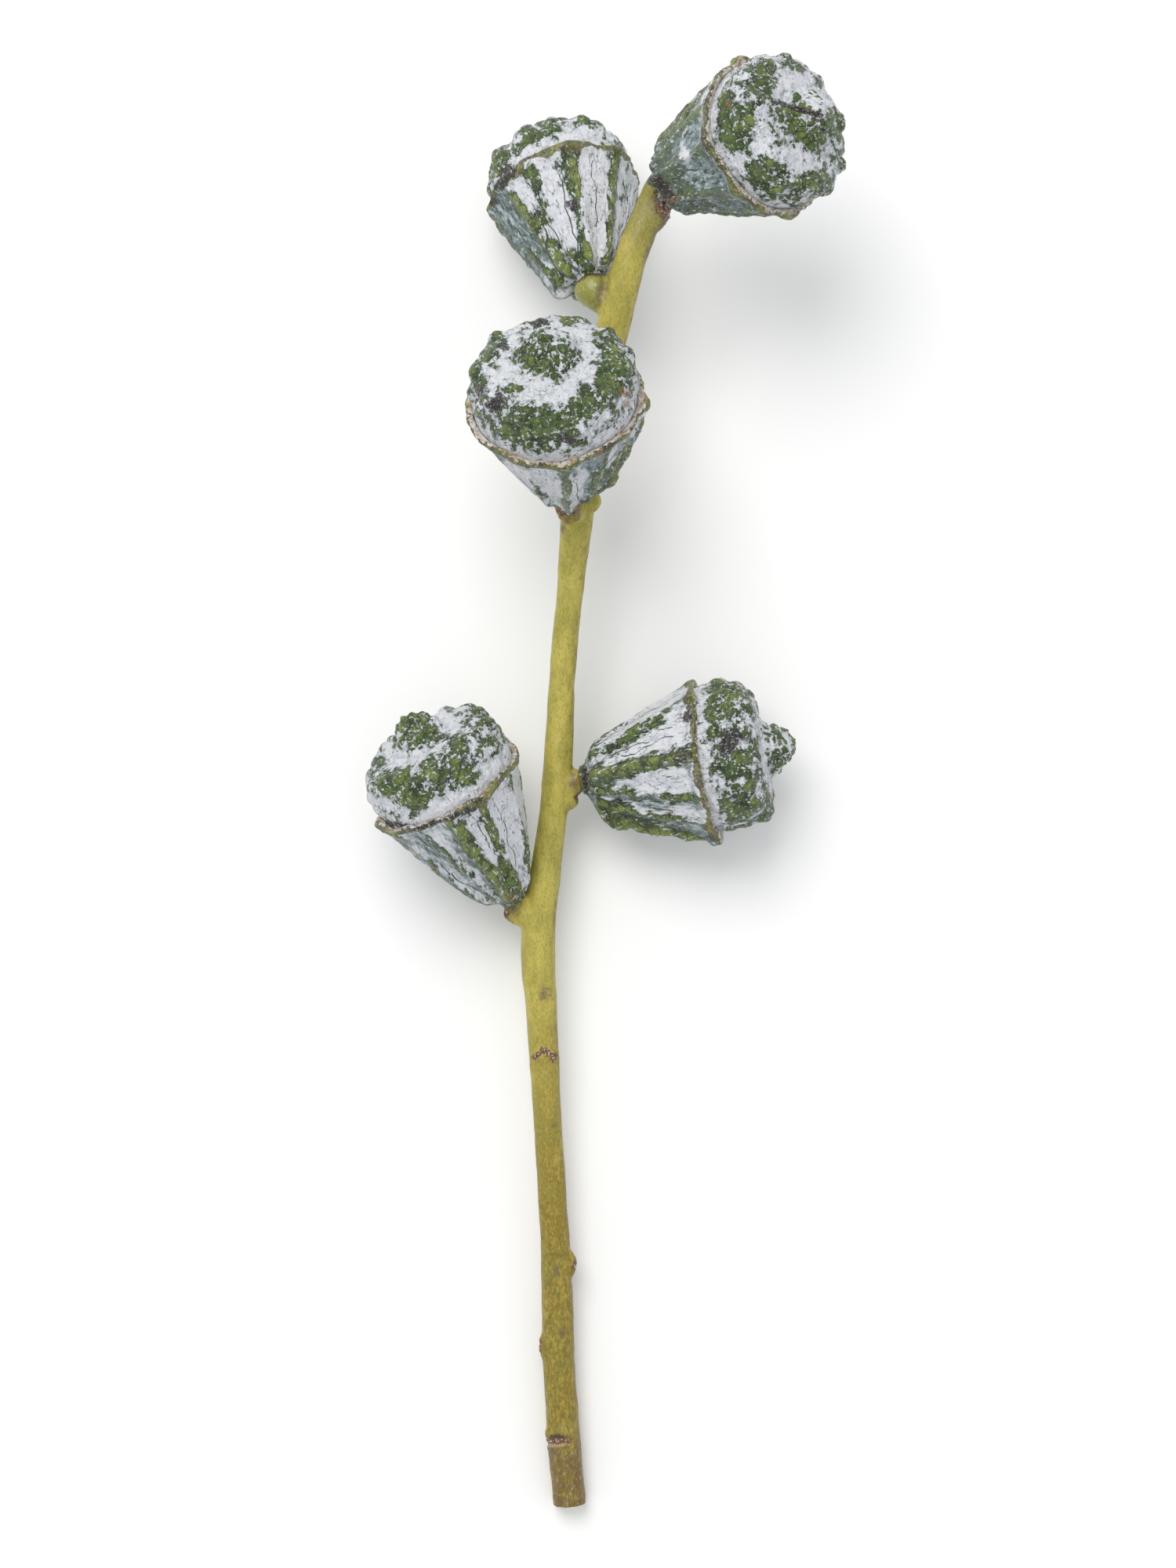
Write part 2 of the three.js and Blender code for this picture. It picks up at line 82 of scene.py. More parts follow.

# Each nut grows from `base` along an axis `bearing` degrees round from +X and `rise` degrees up.
# A stalk is its length, its radius and the share of that radius left where it meets the stem. `hang` is
# how far a rib's foot hangs back over the cup's base for each millimetre of its height, and `foot` how
# far up the cup its ribs start. `waxy` adds wax, and `cracked` is the share of long cracks that is there.
# Ribs are degrees round the axis from its upper side, and height.
# Marks are seen from above, on the photograph's plane: x, y, half-width and, for a stroke, the x and y
# it runs to. "bare" is rubbed rind and "wax" is thick wax; the thin-wax marks add thin wax and painted
# shade together.
NUTS = [
    {
        "name": "nut_1",
        "base": [9.45, 75.1, 21.0],
        "bearing": 18,
        "rise": 43,
        "rim": 10.3,
        "cup_length": 17.4,
        "cap_height": 10.6,
        "stalk": (2.6, 1.75, 1.0),
        "hang": 0.7,
        "foot": 0.0,
        "seed": 11,
        "waxy": 0.02,
        "cracked": 0.3,
        "ribs": [
            (-88, 1.8), (-58, 0.9), (-34, 0.9), (-4, 1.3), (34, 1.1), (63, 1.1),
            (92, 1.2), (124, 1.2), (152, 0.7), (184, 1.1), (214, 0.8), (243, 1.0),
        ],
        "marks": {
            "bare": [
                (10.0, 78.0, 1.6, 12.4, 76.0), (24.8, 85.0, 1.4, 28.6, 81.6), (19.0, 83.7, 2.0),
                (17.3, 86.9, 1.4), (22.1, 89.7, 1.3), (28.8, 77.1, 1.1), (22.5, 77.5, 1.6),
                (31.2, 83.7, 1.1), (28.8, 89.0, 0.8), (7.9, 81.3, 0.9, 12.6, 85.6),
                (12.4, 75.6, 0.7, 17.6, 74.9),
            ],
            "wax": [
                (22.6, 85.0, 1.0, 22.3, 81.6), (25.0, 80.3, 1.0, 28.0, 78.6),
                (25.8, 89.9, 1.1, 30.0, 87.2), (16.6, 90.6, 0.7, 14.9, 84.2),
                (11.8, 82.0, 0.5, 12.6, 79.4),
            ],
            # Thin wax and painted shade on the cup's shaded side.
            "film_and_shade": [
                (9.4, 79.4, 2.6, 13.4, 83.4), (11.4, 77.2, 2.2, 16.8, 76.0),
            ],
            "rust": [
                (17.8, 86.7, 0.7), (28.8, 85.5, 0.7), (9.8, 75.6, 1.1, 10.8, 74.6),
            ],
            "stain": [
                (23.6, 87.1, 0.4, 29.6, 85.2), (8.8, 77.0, 0.9, 10.4, 75.2),
                (9.0, 83.4, 0.4, 12.4, 86.6),
            ],
        },
    },
    {
        "name": "nut_2",
        "base": [0.35, 63.0, 17.45],
        "bearing": 105,
        "rise": -31,
        "rim": 9.95,
        "cup_length": 14.8,
        "cap_height": 10.4,
        "stalk": (4.6, 2.5, 0.55),
        "hang": 0.9,
        "foot": 0.0,
        "seed": 23,
        "waxy": 0.05,
        "cracked": 0.8,
        "ribs": [
            (-86, 1.2), (-50, 1.1), (-25, 0.8), (12, 1.0), (52, 0.9), (70, 0.4),
            (98, 0.4), (128, 0.8), (156, 1.2), (186, 1.0), (214, 1.2), (244, 1.6),
        ],
        "marks": {
            "bare": [
                (-10.9, 79.3, 1.4), (-7.4, 82.0, 1.0, -4.6, 83.9), (-0.7, 84.6, 1.0),
                (-7.6, 78.0, 0.8, -2.8, 65.2), (-4.4, 67.2, 1.3, -3.3, 65.4),
                (-2.6, 80.3, 0.9, -2.2, 76.2), (-2.0, 75.8, 0.5, -0.6, 66.5), (-0.9, 67.8, 1.0),
                (3.3, 80.2, 0.5, 2.7, 67.0), (-9.4, 74.8, 0.7, -7.8, 71.2),
            ],
            "wax": [
                (-8.9, 79.4, 0.8, -5.5, 81.0), (-2.2, 82.7, 0.8, 1.4, 82.9),
                (-5.4, 76.0, 1.3, -2.6, 69.2), (0.5, 78.2, 1.3, 1.3, 69.0),
            ],
            # Thin wax and painted shade on the cup's shaded side.
            "film_and_shade": [
                (-11.4, 74.6, 1.3, -7.6, 67.0),
            ],
            "stain": [
                (-1.9, 73.8, 0.8), (-11.3, 76.4, 0.8, -9.9, 78.2), (-12.0, 74.4, 0.7),
            ],
        },
    },
    {
        "name": "nut_3",
        "base": [-2.77, 36.0, 16.9],
        "bearing": 96.5,
        "rise": 47,
        "rim": 11.3,
        "cup_length": 15.9,
        "cap_height": 12.0,
        "stalk": (3.4, 1.8, 0.95),
        "hang": 0.3,
        "foot": 0.06,
        "seed": 35,
        "waxy": 0.02,
        "cracked": 0.3,
        "ribs": [
            (-92, 0.5), (-60, 0.3), (-29, 0.8), (1, 1.6), (33, 1.0), (56, 1.1),
            (79, 1.9), (114, 1.0), (150, 0.6), (181, 0.7), (212, 0.6), (241, 0.6),
        ],
        "marks": {
            "bare": [
                (-2.6, 40.4, 0.5, -2.8, 36.4), (-8.7, 39.9, 0.45, -5.6, 36.9),
                (5.4, 42.6, 0.5, 0.8, 38.4), (-6.6, 54.8, 2.2), (-2.4, 54.6, 0.9), (-3.8, 51.8, 0.9),
                (-2.6, 58.8, 1.0), (2.3, 55.8, 1.4, 2.5, 51.0), (4.8, 53.2, 0.9), (-12.5, 55.4, 0.7),
                (-13.9, 51.4, 1.0), (-9.5, 44.6, 1.6, -2.6, 46.8), (-6.4, 44.4, 1.5, -0.8, 48.4),
            ],
            "wax": [
                (-12.0, 51.6, 1.6), (-7.6, 49.2, 1.1, -2.4, 49.6), (0.0, 52.4, 1.0),
                (-0.8, 57.6, 0.9, -4.8, 59.0), (-9.6, 58.2, 1.0), (-4.7, 43.5, 0.4), (-1.1, 45.8, 0.4),
                (-10.2, 43.5, 0.5), (2.6, 46.5, 0.5), (-6.2, 40.2, 1.2, -4.6, 37.4),
                (-9.8, 41.0, 0.8, -7.2, 38.4), (-0.6, 39.6, 0.5, -1.8, 36.6),
            ],
            "rust": [
                (4.6, 50.2, 0.8, 5.0, 48.4), (1.4, 42.0, 0.7), (-9.4, 41.6, 0.4),
            ],
            "stain": [
                (-12.1, 48.1, 1.0, -11.2, 49.0), (-13.9, 50.2, 0.8), (-6.9, 58.8, 0.7, -5.6, 59.0),
                (-3.2, 44.3, 0.7, -2.2, 43.9), (-11.2, 55.7, 0.45, -10.4, 55.7),
            ],
        },
    },
    {
        "name": "nut_4",
        "base": [-9.5, -14.7, 8.2],
        "bearing": 119.7,
        "rise": 23,
        "rim": 10.3,
        "cup_length": 18.3,
        "cap_height": 11.0,
        "stalk": (4.4, 1.75, 0.95),
        "hang": 0.1,
        "foot": 0.0,
        "seed": 47,
        "waxy": 0.06,
        "cracked": 0.6,
        "ribs": [
            (-88, 1.1), (-57, 0.9), (-31, 0.8), (-9, 1.4), (17, 0.9), (54, 0.8),
            (86, 0.5), (116, 0.8), (148, 1.1), (178, 0.9), (210, 1.1), (240, 0.8),
        ],
        "marks": {
            "bare": [
                (-23.0, 8.6, 1.5, -21.2, 5.6), (-20.6, 6.6, 0.7, -18.2, 6.2), (-16.6, 4.6, 1.3),
                (-19.8, 1.6, 1.2, -14.8, 0.2), (-25.8, 1.0, 1.5, -22.2, -2.6),
                (-16.3, -5.7, 0.9, -10.2, -14.0), (-12.9, -4.6, 0.6, -10.8, -12.0),
                (-20.4, -6.8, 0.3, -15.8, -11.2),
            ],
            "wax": [
                (-18.7, 8.2, 1.0), (-24.4, 3.4, 0.9), (-21.5, 3.9, 0.9), (-22.6, -0.2, 0.6),
                (-21.0, -4.2, 0.8, -15.8, -1.6), (-28.0, -1.4, 0.9, -23.4, -3.6),
                (-14.6, -1.2, 0.9, -9.4, 4.6), (-9.8, -1.8, 1.0, -9.4, -9.0),
                (-14.4, -5.0, 0.6, -12.2, -9.2),
            ],
            "rust": [
                (-9.8, -14.4, 0.6),
            ],
            "stain": [
                (-27.3, -4.5, 0.4, -22.0, -5.7), (-22.0, -5.7, 0.35, -14.6, -3.2),
            ],
        },
    },
    {
        "name": "nut_5",
        "base": [-0.8, 0.45, 8.75],
        "bearing": 9.7,
        "rise": 6,
        "rim": 10.3,
        "cup_length": 15.9,
        "cap_height": 12.1,
        "stalk": (3.2, 1.7, 0.95),
        "hang": 0,
        "foot": 0.0,
        "seed": 59,
        "waxy": -0.01,
        "cracked": 0.6,
        "ribs": [
            (-94, 1.0), (-55, 0.9), (-5, 1.5), (28, 0.8), (56, 1.1), (88, 2.3),
            (118, 0.8), (148, 0.9), (180, 1.4), (212, 0.8), (240, 1.0),
        ],
        "marks": {
            "bare": [
                (0.6, 0.9, 1.0, 12.8, 3.5), (2.8, 4.4, 0.7, 9.4, 8.0), (1.8, -3.2, 0.8, 13.4, -7.4),
                (16.6, 9.6, 1.2), (19.0, 2.2, 1.2),
            ],
            "wax": [
                (1.4, 4.9, 0.7, 10.2, 11.2), (7.0, 5.0, 0.5, 11.4, 6.2), (7.6, 0.6, 0.9, 11.8, 0.2),
                (14.2, 1.4, 0.7, 15.8, -4.4),
            ],
            "rust": [
                (15.8, -5.5, 0.5), (14.8, -2.3, 0.5),
            ],
            "stain": [
                (17.5, 4.5, 1.2, 18.4, 6.1), (12.6, 8.5, 0.8), (20.0, -1.5, 0.4),
                (11.4, 3.3, 0.6, 13.0, 3.8), (-0.4, 2.0, 0.35, -0.3, -1.0),
            ],
        },
    },
]

# Cup wall between the ribs: share of the cup's length, share of the rim's radius.
CUP_LINE = [
    [0, 0.17], [0.06, 0.2], [0.12, 0.27], [0.22, 0.375], [0.4, 0.52],
    [0.6, 0.665], [0.8, 0.8], [0.92, 0.87], [1, 0.93],
]
RIB_CREST = 0.6  # half-width of a rib's sharp crest
RIB_SKIRT = 1.7  # how far its hollow flank reaches
RIM_SWELL = 0.35  # how far the rim stands out from the wall
SEAT_RADIUS = 0.885  # share of the rim's radius that the cap fills
SEAT_DEPTH = 0.6  # how deep the cap stands inside the rim
SEAM_GAP = 0.3  # slit under the cap
LIP_ROLL = 0.36  # radius of the cup's rolled lip
SLIT = 0.1  # what shows of the gap between the lip and the cap
STALK_TUCK = 0.2  # how far a stalk reaches into its cup
MARK_STRENGTH = 0.36  # how much a mark adds to or takes from the wear
KNUCKLES = 0.16  # share by which knuckles swell a rib's crest
WRINKLES, LUMPS, BEADS, LIP_SWAY = 0.06, 0.1, 0.12, 0.3  # heights of a cup's relief
SHOULDER_COBBLES, KNOB_COBBLES = 0.24, 0.34  # heights of a cap's cobbles

# Cap outline from its edge to the knob's tip: share of the rim's radius, share of the cap's height.
CAP_LINE = [
    [0.885, 0], [0.892, 0.14], [0.89, 0.3], [0.865, 0.44], [0.785, 0.56], [0.65, 0.635], [0.49, 0.655],
    [0.37, 0.67], [0.31, 0.73], [0.26, 0.82], [0.18, 0.91], [0.08, 0.98], [0, 1],
]
# Rows of warts: where on the cap's line, how many round it, their radius and their height.
WART_ROWS = [
    (0.11, 16, 1.7, 0.3),
    (0.2, 15, 2.0, 0.6),
    (0.3, 14, 2.1, 0.7),
    (0.4, 11, 1.8, 0.45),
    (0.5, 7, 1.4, 0.2),
    (0.62, 8, 1.3, 0.45),
    (0.72, 7, 1.2, 0.45),
    (0.82, 5, 1.1, 0.4),
    (0.92, 3, 0.9, 0.3),
]
NUT_SIDES = 300  # columns of points round a cup or a cap, about 0.2 mm apart
CUP_ROWS = 74  # rings up a cup's wall
CUP_ROWS_CROWD = 0.94  # below 1 they lie closer towards the rim
CAP_ROWS = 88

# Scars and buds on the stem: y, degrees round from its upper side, length, width, height.
KNOTS = [
    (-83.6, -20, 1.6, 2.0, 0.35),
    (-72.6, -80, 2.4, 1.4, 0.4),
    (-61.9, 75, 2.2, 1.4, 0.8),
    (-34.6, 5, 1.3, 1.9, 0.45),
    (-17.0, -86, 1.6, 1.5, 2.5),
    (-1.9, 88, 1.5, 1.3, 1.2),
    (36.2, 62, 1.6, 1.4, 1.0),
    (71.8, 62, 2.8, 1.7, 0.8),
]

# Marks on the stem, seen from above on the photograph's plane: x, y, half-width, half-length and, for a
# stroke, the x and y it runs to.
STEM_MARKS = {
    "rust": [
        (-6.9, -34.9, 0.4, 0.4, -5.7, -34.0), (-5.7, -34.0, 0.55, 0.7, -4.4, -34.8),
        (-1.7, -61.5, 0.6, 0.9), (-6.2, -71.6, 0.3, 1.2), (-5.6, -83.8, 0.5, 0.5, -2.6, -83.7),
        (-10.6, -16.3, 0.9, 0.9), (-9.3, -14.9, 0.7, 0.4), (-1.2, -1.7, 0.6, 0.8),
        (9.3, 73.9, 1.1, 1.1, 10.4, 73.6), (9.4, 73.0, 0.7, 1.0, 10.2, 72.4),
        (-3.6, 34.9, 0.5, 0.7, -1.4, 35.2), (-2.2, 63.6, 0.3, 0.4),
    ],
    "stain": [
        (-6.6, -34.7, 0.2, 0.2, -5.6, -33.9), (-5.6, -33.9, 0.2, 0.2, -4.5, -34.6),
        (-4.6, -83.3, 0.5, 0.35, -3.2, -83.2), (-11.1, -16.3, 0.5, 0.5), (-1.1, -1.4, 0.4, 0.4),
        (9.0, 75.4, 0.7, 0.7, 10.6, 73.8), (-3.0, 34.6, 0.5, 0.4, -2.0, 34.5),
        (-2.1, 63.6, 0.3, 0.3, 0.0, 65.0), (0.0, 65.0, 0.3, 0.3, 2.3, 64.9),
    ],
    "pale": [
        (-5.2, -84.4, 0.5, 0.35, -2.5, -84.2),
    ],
    "smudge": [
        (-5.6, -26.7, 1.0, 1.2), (-4.4, -43.5, 0.5, 0.4), (-4.8, -85.3, 1.1, 1.2),
        (9.4, 74.0, 1.7, 1.9, 10.4, 73.4), (9.8, 71.6, 0.8, 1.0, 7.8, 67.4),
        (-0.3, 37.4, 1.0, 0.7, 1.2, 37.8), (-3.3, 32.6, 0.6, 1.0), (1.9, 63.6, 0.9, 1.2, 1.4, 61.8),
        (-2.0, 0.3, 0.8, 1.4), (-9.8, -15.6, 1.0, 0.8), (-4.0, -62.0, 0.5, 1.0), (-3.2, -70.0, 0.5, 0.8),
    ],
}
STEM_SIDES = 36
KNOT_DEPTH = 0.6  # share of the stem's radius at which a scar's middle lies
FUSE_VOXEL = 0.21  # mm, the finest step that the fused stem keeps
MIXED_COLOUR = 2  # which output of a Mix node holds its colour
RANDOM_NUMBER = 1  # which output of a Random Value node holds a plain number
WAXY_IOR = 1.45  # of plant skin and wax


def smooth(low, high, value):
    """Rises from 0 at `low` to 1 at `high`."""
    share = np.clip((value - low) / (high - low), 0, 1)
    return share * share * (3 - 2 * share)


def along(points, share):
    """The points at `share`, 0 to 1, of the smooth line through evenly spaced points."""
    points = np.asarray(points, float)
    spans = len(points) - 1
    place = np.clip(np.asarray(share, float), 0, 1) * spans
    first = np.minimum(place.astype(int), spans - 1)
    t = (place - first)[..., None]
    a, b = points[np.maximum(first - 1, 0)], points[first]
    c, d = points[first + 1], points[np.minimum(first + 2, spans)]
    leave, arrive = (c - a) / 2, (d - b) / 2
    cubic, square = 2 * b - 2 * c + leave + arrive, 3 * c - 3 * b - 2 * leave - arrive
    return cubic * t**3 + square * t**2 + leave * t + b


def draw(seed, index):
    """A fixed draw between 0 and 1, by the rule that the CAD uses too."""
    value = math.sin(seed * 78.233 + index * 12.9898) * 43758.5453
    return value - math.floor(value)


def scatter(cells, seed):
    """A fixed draw between 0 and 1 for each whole-number cell of space."""
    mixed = (cells[:, 0] * 73856093) ^ (cells[:, 1] * 19349663) ^ (cells[:, 2] * 83492791)
    mixed = (mixed ^ (seed * 2654435761)) & 0xFFFFFFFF
    mixed = ((mixed ^ (mixed >> 15)) * 2246822519) & 0xFFFFFFFF
    mixed = ((mixed ^ (mixed >> 13)) * 3266489917) & 0xFFFFFFFF
    return ((mixed ^ (mixed >> 16)) & 0xFFFF) / 65535


def drift(points, size, seed):
    """A smooth random field between -1 and 1, whose swells are about `size` mm apart."""
    place = points / size
    cell = np.floor(place).astype(np.int64)
    part = place - cell
    part = part * part * (3 - 2 * part)
    total = np.zeros(len(points))
    for corner in np.ndindex(2, 2, 2):
        weight = np.prod(np.where(np.array(corner) == 1, part, 1 - part), axis=1)
        total += weight * scatter(cell + np.array(corner), seed)
    return total * 2 - 1


def drifts(points, size, seed, octaves=3):
    """Random swells with finer and lower ones on them."""
    return sum(drift(points, size / 2**n, seed + n) / 2**n for n in range(octaves))


def pebbles(points, size, seed):
    """Rounded pebbles about `size` mm across, 0 in the creases between them and about 1 on top."""
    place = points / size
    cell = np.floor(place).astype(np.int64)
    nearest = np.full(len(points), 9.0)
    second = nearest.copy()
    for step in np.ndindex(3, 3, 3):
        near = cell + np.array(step) - 1
        jitter = np.stack([scatter(near, seed + k) for k in range(3)], axis=1)
        far = np.linalg.norm(place - near - 0.1 - 0.8 * jitter, axis=1)
        second = np.minimum(second, np.maximum(far, nearest))
        nearest = np.minimum(nearest, far)
    return np.tanh(2.2 * (second - nearest))


def turned_by(nut):
    """The nut's side, axis and upper directions, as rows."""
    bearing, rise = math.radians(nut["bearing"]), math.radians(nut["rise"])
    flat = math.cos(rise)
    axis = np.array([flat * math.cos(bearing), flat * math.sin(bearing), math.sin(rise)])
    side = np.array([math.sin(bearing), -math.cos(bearing), 0.0])
    return np.stack([side, axis, np.cross(side, axis)])


def stood_up(nut, local):
    """Points of a nut's own frame, in the plan."""
    return local @ turned_by(nut) + np.array(nut["base"])


def seen(points):
    """Where points appear from the camera, in millimetres on the photograph's plane."""
    grown = (EYE_HEIGHT - PHOTO_PLANE) / (EYE_HEIGHT - points[:, 2])
    return points[:, :2] * grown[:, None]


def roundness(nut, turn):
    """No nut is quite round: its radius is multiplied by this."""
    swell = 0.012 * np.cos(2 * turn + TURN * draw(nut["seed"], 1))
    return 1 + swell + 0.01 * np.cos(3 * turn + TURN * draw(nut["seed"], 2))


def rim_wave(nut, turn):
    """How far the rim, and the cap's edge in it, dips and rises round the nut."""
    slow = 0.22 * np.sin(2 * turn + TURN * draw(nut["seed"], 3))
    return slow + 0.16 * np.sin(5 * turn + TURN * draw(nut["seed"], 4))


def ribs_at(nut, turn, share, radius, wander):
    """Height of the ribs over the cup's wall, and how near each point is to a crest, 0 to 1. Towards
    the lip the ribs grow round."""
    sharp = 0.4 * (1 - smooth(0.8, 0.97, share))
    height = np.zeros_like(turn)
    crest = np.zeros_like(turn)
    for number, (degrees, high) in enumerate(nut["ribs"]):
        centre = math.radians(degrees) + wander[number]
        apart = np.arctan2(np.sin(turn - centre), np.cos(turn - centre))
        far = np.abs(apart) * radius
        hollow, round_back = np.exp(-far / RIB_SKIRT), np.exp(-((far / RIB_SKIRT) ** 2))
        ridge = sharp * np.exp(-((far / RIB_CREST) ** 2)) + 1.5 * sharp * hollow
        height = np.maximum(height, high * (ridge + (1 - 2.5 * sharp) * round_back))
        rub = (0.6 + 0.5 * draw(nut["seed"] + number, 77)) * min(1, 0.45 + 0.5 * high)
        crest = np.maximum(crest, rub * np.exp(-((far / (0.55 + 0.25 * high)) ** 2)))
    return height, crest


def closed_skin(points, rows, columns):
    """Outward faces of a closed skin of rings between two poles, which are its last two points."""
    at = np.arange(rows * columns).reshape(rows, columns)
    on = np.roll(at, -1, axis=1)
    walls = np.stack([at[:-1], on[:-1], on[1:], at[1:]], axis=-1).reshape(-1, 4)
    first, last = rows * columns, rows * columns + 1
    start = np.stack([np.full(columns, first), on[0], at[0]], axis=-1)
    end = np.stack([np.full(columns, last), at[-1], on[-1]], axis=-1)
    triangles = np.vstack([walls[:, :3], walls[:, [0, 2, 3]], start, end])
    a, b, c = (points[triangles[:, n]] for n in range(3))
    step = 1 if np.sum(a * np.cross(b, c)) > 0 else -1
    return walls[:, ::step].tolist() + start[:, ::step].tolist() + end[:, ::step].tolist()


def into_frame(points):
    """Plan millimetres as metres in the frame, kept inside the CAD's box and above the table."""
    return np.clip((points - PLAN_MIDDLE) * MM, np.array(cad_box[0]), np.array(cad_box[1]))


def grown_piece(name, mesh, material):
    """An object at the origin that shows `mesh`, shaded smooth."""
    mesh.materials.clear()
    mesh.materials.append(material)
    mesh.shade_smooth()
    piece = bpy.data.objects.new(name, mesh)
    bpy.context.scene.collection.objects.link(piece)
    return piece


def note(mesh, name, values):
    """Keeps a value for each point, or a triple, which the materials read by its name."""
    kind, field = ("FLOAT", "value") if values.ndim == 1 else ("FLOAT_VECTOR", "vector")
    layer = mesh.attributes.new(name, kind, "POINT")
    layer.data.foreach_set(field, np.ascontiguousarray(values, np.float32).ravel())


def point_normals(mesh):
    """The outward direction at each point of a mesh."""
    found = np.zeros(len(mesh.vertices) * 3, np.float32)
    mesh.vertex_normals.foreach_get("vector", found)
    return found.reshape(-1, 3).astype(float)


def mesh_points(mesh):
    """The points of a mesh, one to a row."""
    found = np.zeros(len(mesh.vertices) * 3, np.float32)
    mesh.vertices.foreach_get("co", found)
    return found.reshape(-1, 3).astype(float)


def stroke_cover(place, start, end, wide, long):
    """How near each place is to a stroke: 1 on its middle line, a half at its edge, 0 well outside."""
    start, run = np.array(start), np.subtract(end, start)
    part = np.clip((place - start) @ run / max(run @ run, 1e-9), 0, 1)
    off = (place - start - part[:, None] * run) / [wide, long]
    return np.clip(1.1 - 0.6 * np.hypot(off[:, 0], off[:, 1]), 0, 1)


def marked(nut, kind, points, normals):
    """How strongly the nut's marks of one kind cover each point that faces the camera."""
    cover = np.zeros(len(points))
    place = seen(points)
    for x, y, wide, *end in nut["marks"].get(kind, []):
        cover = np.maximum(cover, stroke_cover(place, (x, y), end or (x, y), wide, wide))
    return cover * smooth(-0.1, 0.2, normals[:, 2])


def nut_grid(rows):
    """The turn round the nut, and its place among `rows`, of each point of a grid of rings."""
    return np.meshgrid(np.linspace(0, TURN, NUT_SIDES, endpoint=False), rows)


def turned(radius, turn, height):
    """Rings of radius and height as points of the nut's own frame."""
    return np.stack([radius * np.sin(turn), height, radius * np.cos(turn)], axis=-1).reshape(-1, 3)


def flat_ring(radius, turn):
    """Points of a ring laid flat, so that a random field read there closes round the nut."""
    return np.stack([radius * np.sin(turn), radius * np.cos(turn), 0 * turn], axis=-1)


def with_poles(field):
    """A value for each point of the rings, and then for the two poles."""
    field = np.ravel(field)
    return np.concatenate([field, [field[0], field[-1]]])


def nut_mesh(nut, name, local, material, fields, painted_shade_film):
    """A cup or a cap from its points in the nut's own frame, with what its wax and rind read. Painted
    shade: the dark thin-wax film is added on the sides turned from the light, by as much as the last
    argument."""
    rows = (len(local) - 2) // NUT_SIDES
    points = stood_up(nut, local)
    faces = closed_skin(points, rows, NUT_SIDES)
    mesh = bpy.data.meshes.new(name)
    mesh.from_pydata(into_frame(points), [], faces)
    normals = point_normals(mesh)
    fields["stain"] = marked(nut, "stain", points, normals)
    fields["rust"] = np.maximum(fields["rust"], marked(nut, "rust", points, normals))
    waxed = marked(nut, "wax", points, normals)
    fields["bare"] = fields["bare"] + MARK_STRENGTH * (marked(nut, "bare", points, normals) - waxed)
    # Painted shade: the sides turned from the light get more of the dark thin-wax film.
    shade = 0.5 - 0.5 * (normals @ LIGHT_SIDE)
    film_and_shade = fields["film_and_shade"] + painted_shade_film * smooth(0.25, 0.62, shade) - 0.6 * waxed
    fields["film_and_shade"] = np.clip(film_and_shade + 0.5 * marked(nut, "film_and_shade", points, normals), 0, 1)
    fields["local"] = local + 40.0 * nut["seed"]  # so that no two nuts show the same pattern
    for field, values in fields.items():
        note(mesh, field, values)
    return grown_piece(name, mesh, material)


def crack_distance(nut, turn, share, radius):
    """Distance from each point of a cup's wall to the nearest long crack in its wax. Each valley between
    two ribs has room for two cracks."""
    nearest = np.full(turn.shape, NO_CRACK)
    crests = [math.radians(degrees) for degrees, _ in nut["ribs"]]
    for number, (crest, following) in enumerate(zip(crests, crests[1:] + [crests[0] + TURN])):
        for line in range(2):
            luck = [draw(nut["seed"] + 7 * number + line, 50 + k) for k in range(4)]
            if luck[0] > nut["cracked"]:
                continue
            lane = np.stack([share * nut["cup_length"], 0 * share + 9.1 * number, 0 * share], axis=-1)
            sway = drifts(lane.reshape(-1, 3), 2.4, nut["seed"] + number + 20 * line).reshape(share.shape)
            across = 0.26 + 0.3 * line + 0.18 * luck[1]
            centre = crest + (following - crest) * across + 0.1 * sway
            low, high = 0.1 + 0.3 * luck[2], 0.65 + 0.3 * luck[3]
            beyond = np.maximum(low - share, 0) + np.maximum(share - high, 0)
            apart = np.arctan2(np.sin(turn - centre), np.cos(turn - centre))
            nearest = np.minimum(nearest, np.abs(apart) * radius + beyond * nut["cup_length"])
    return nearest


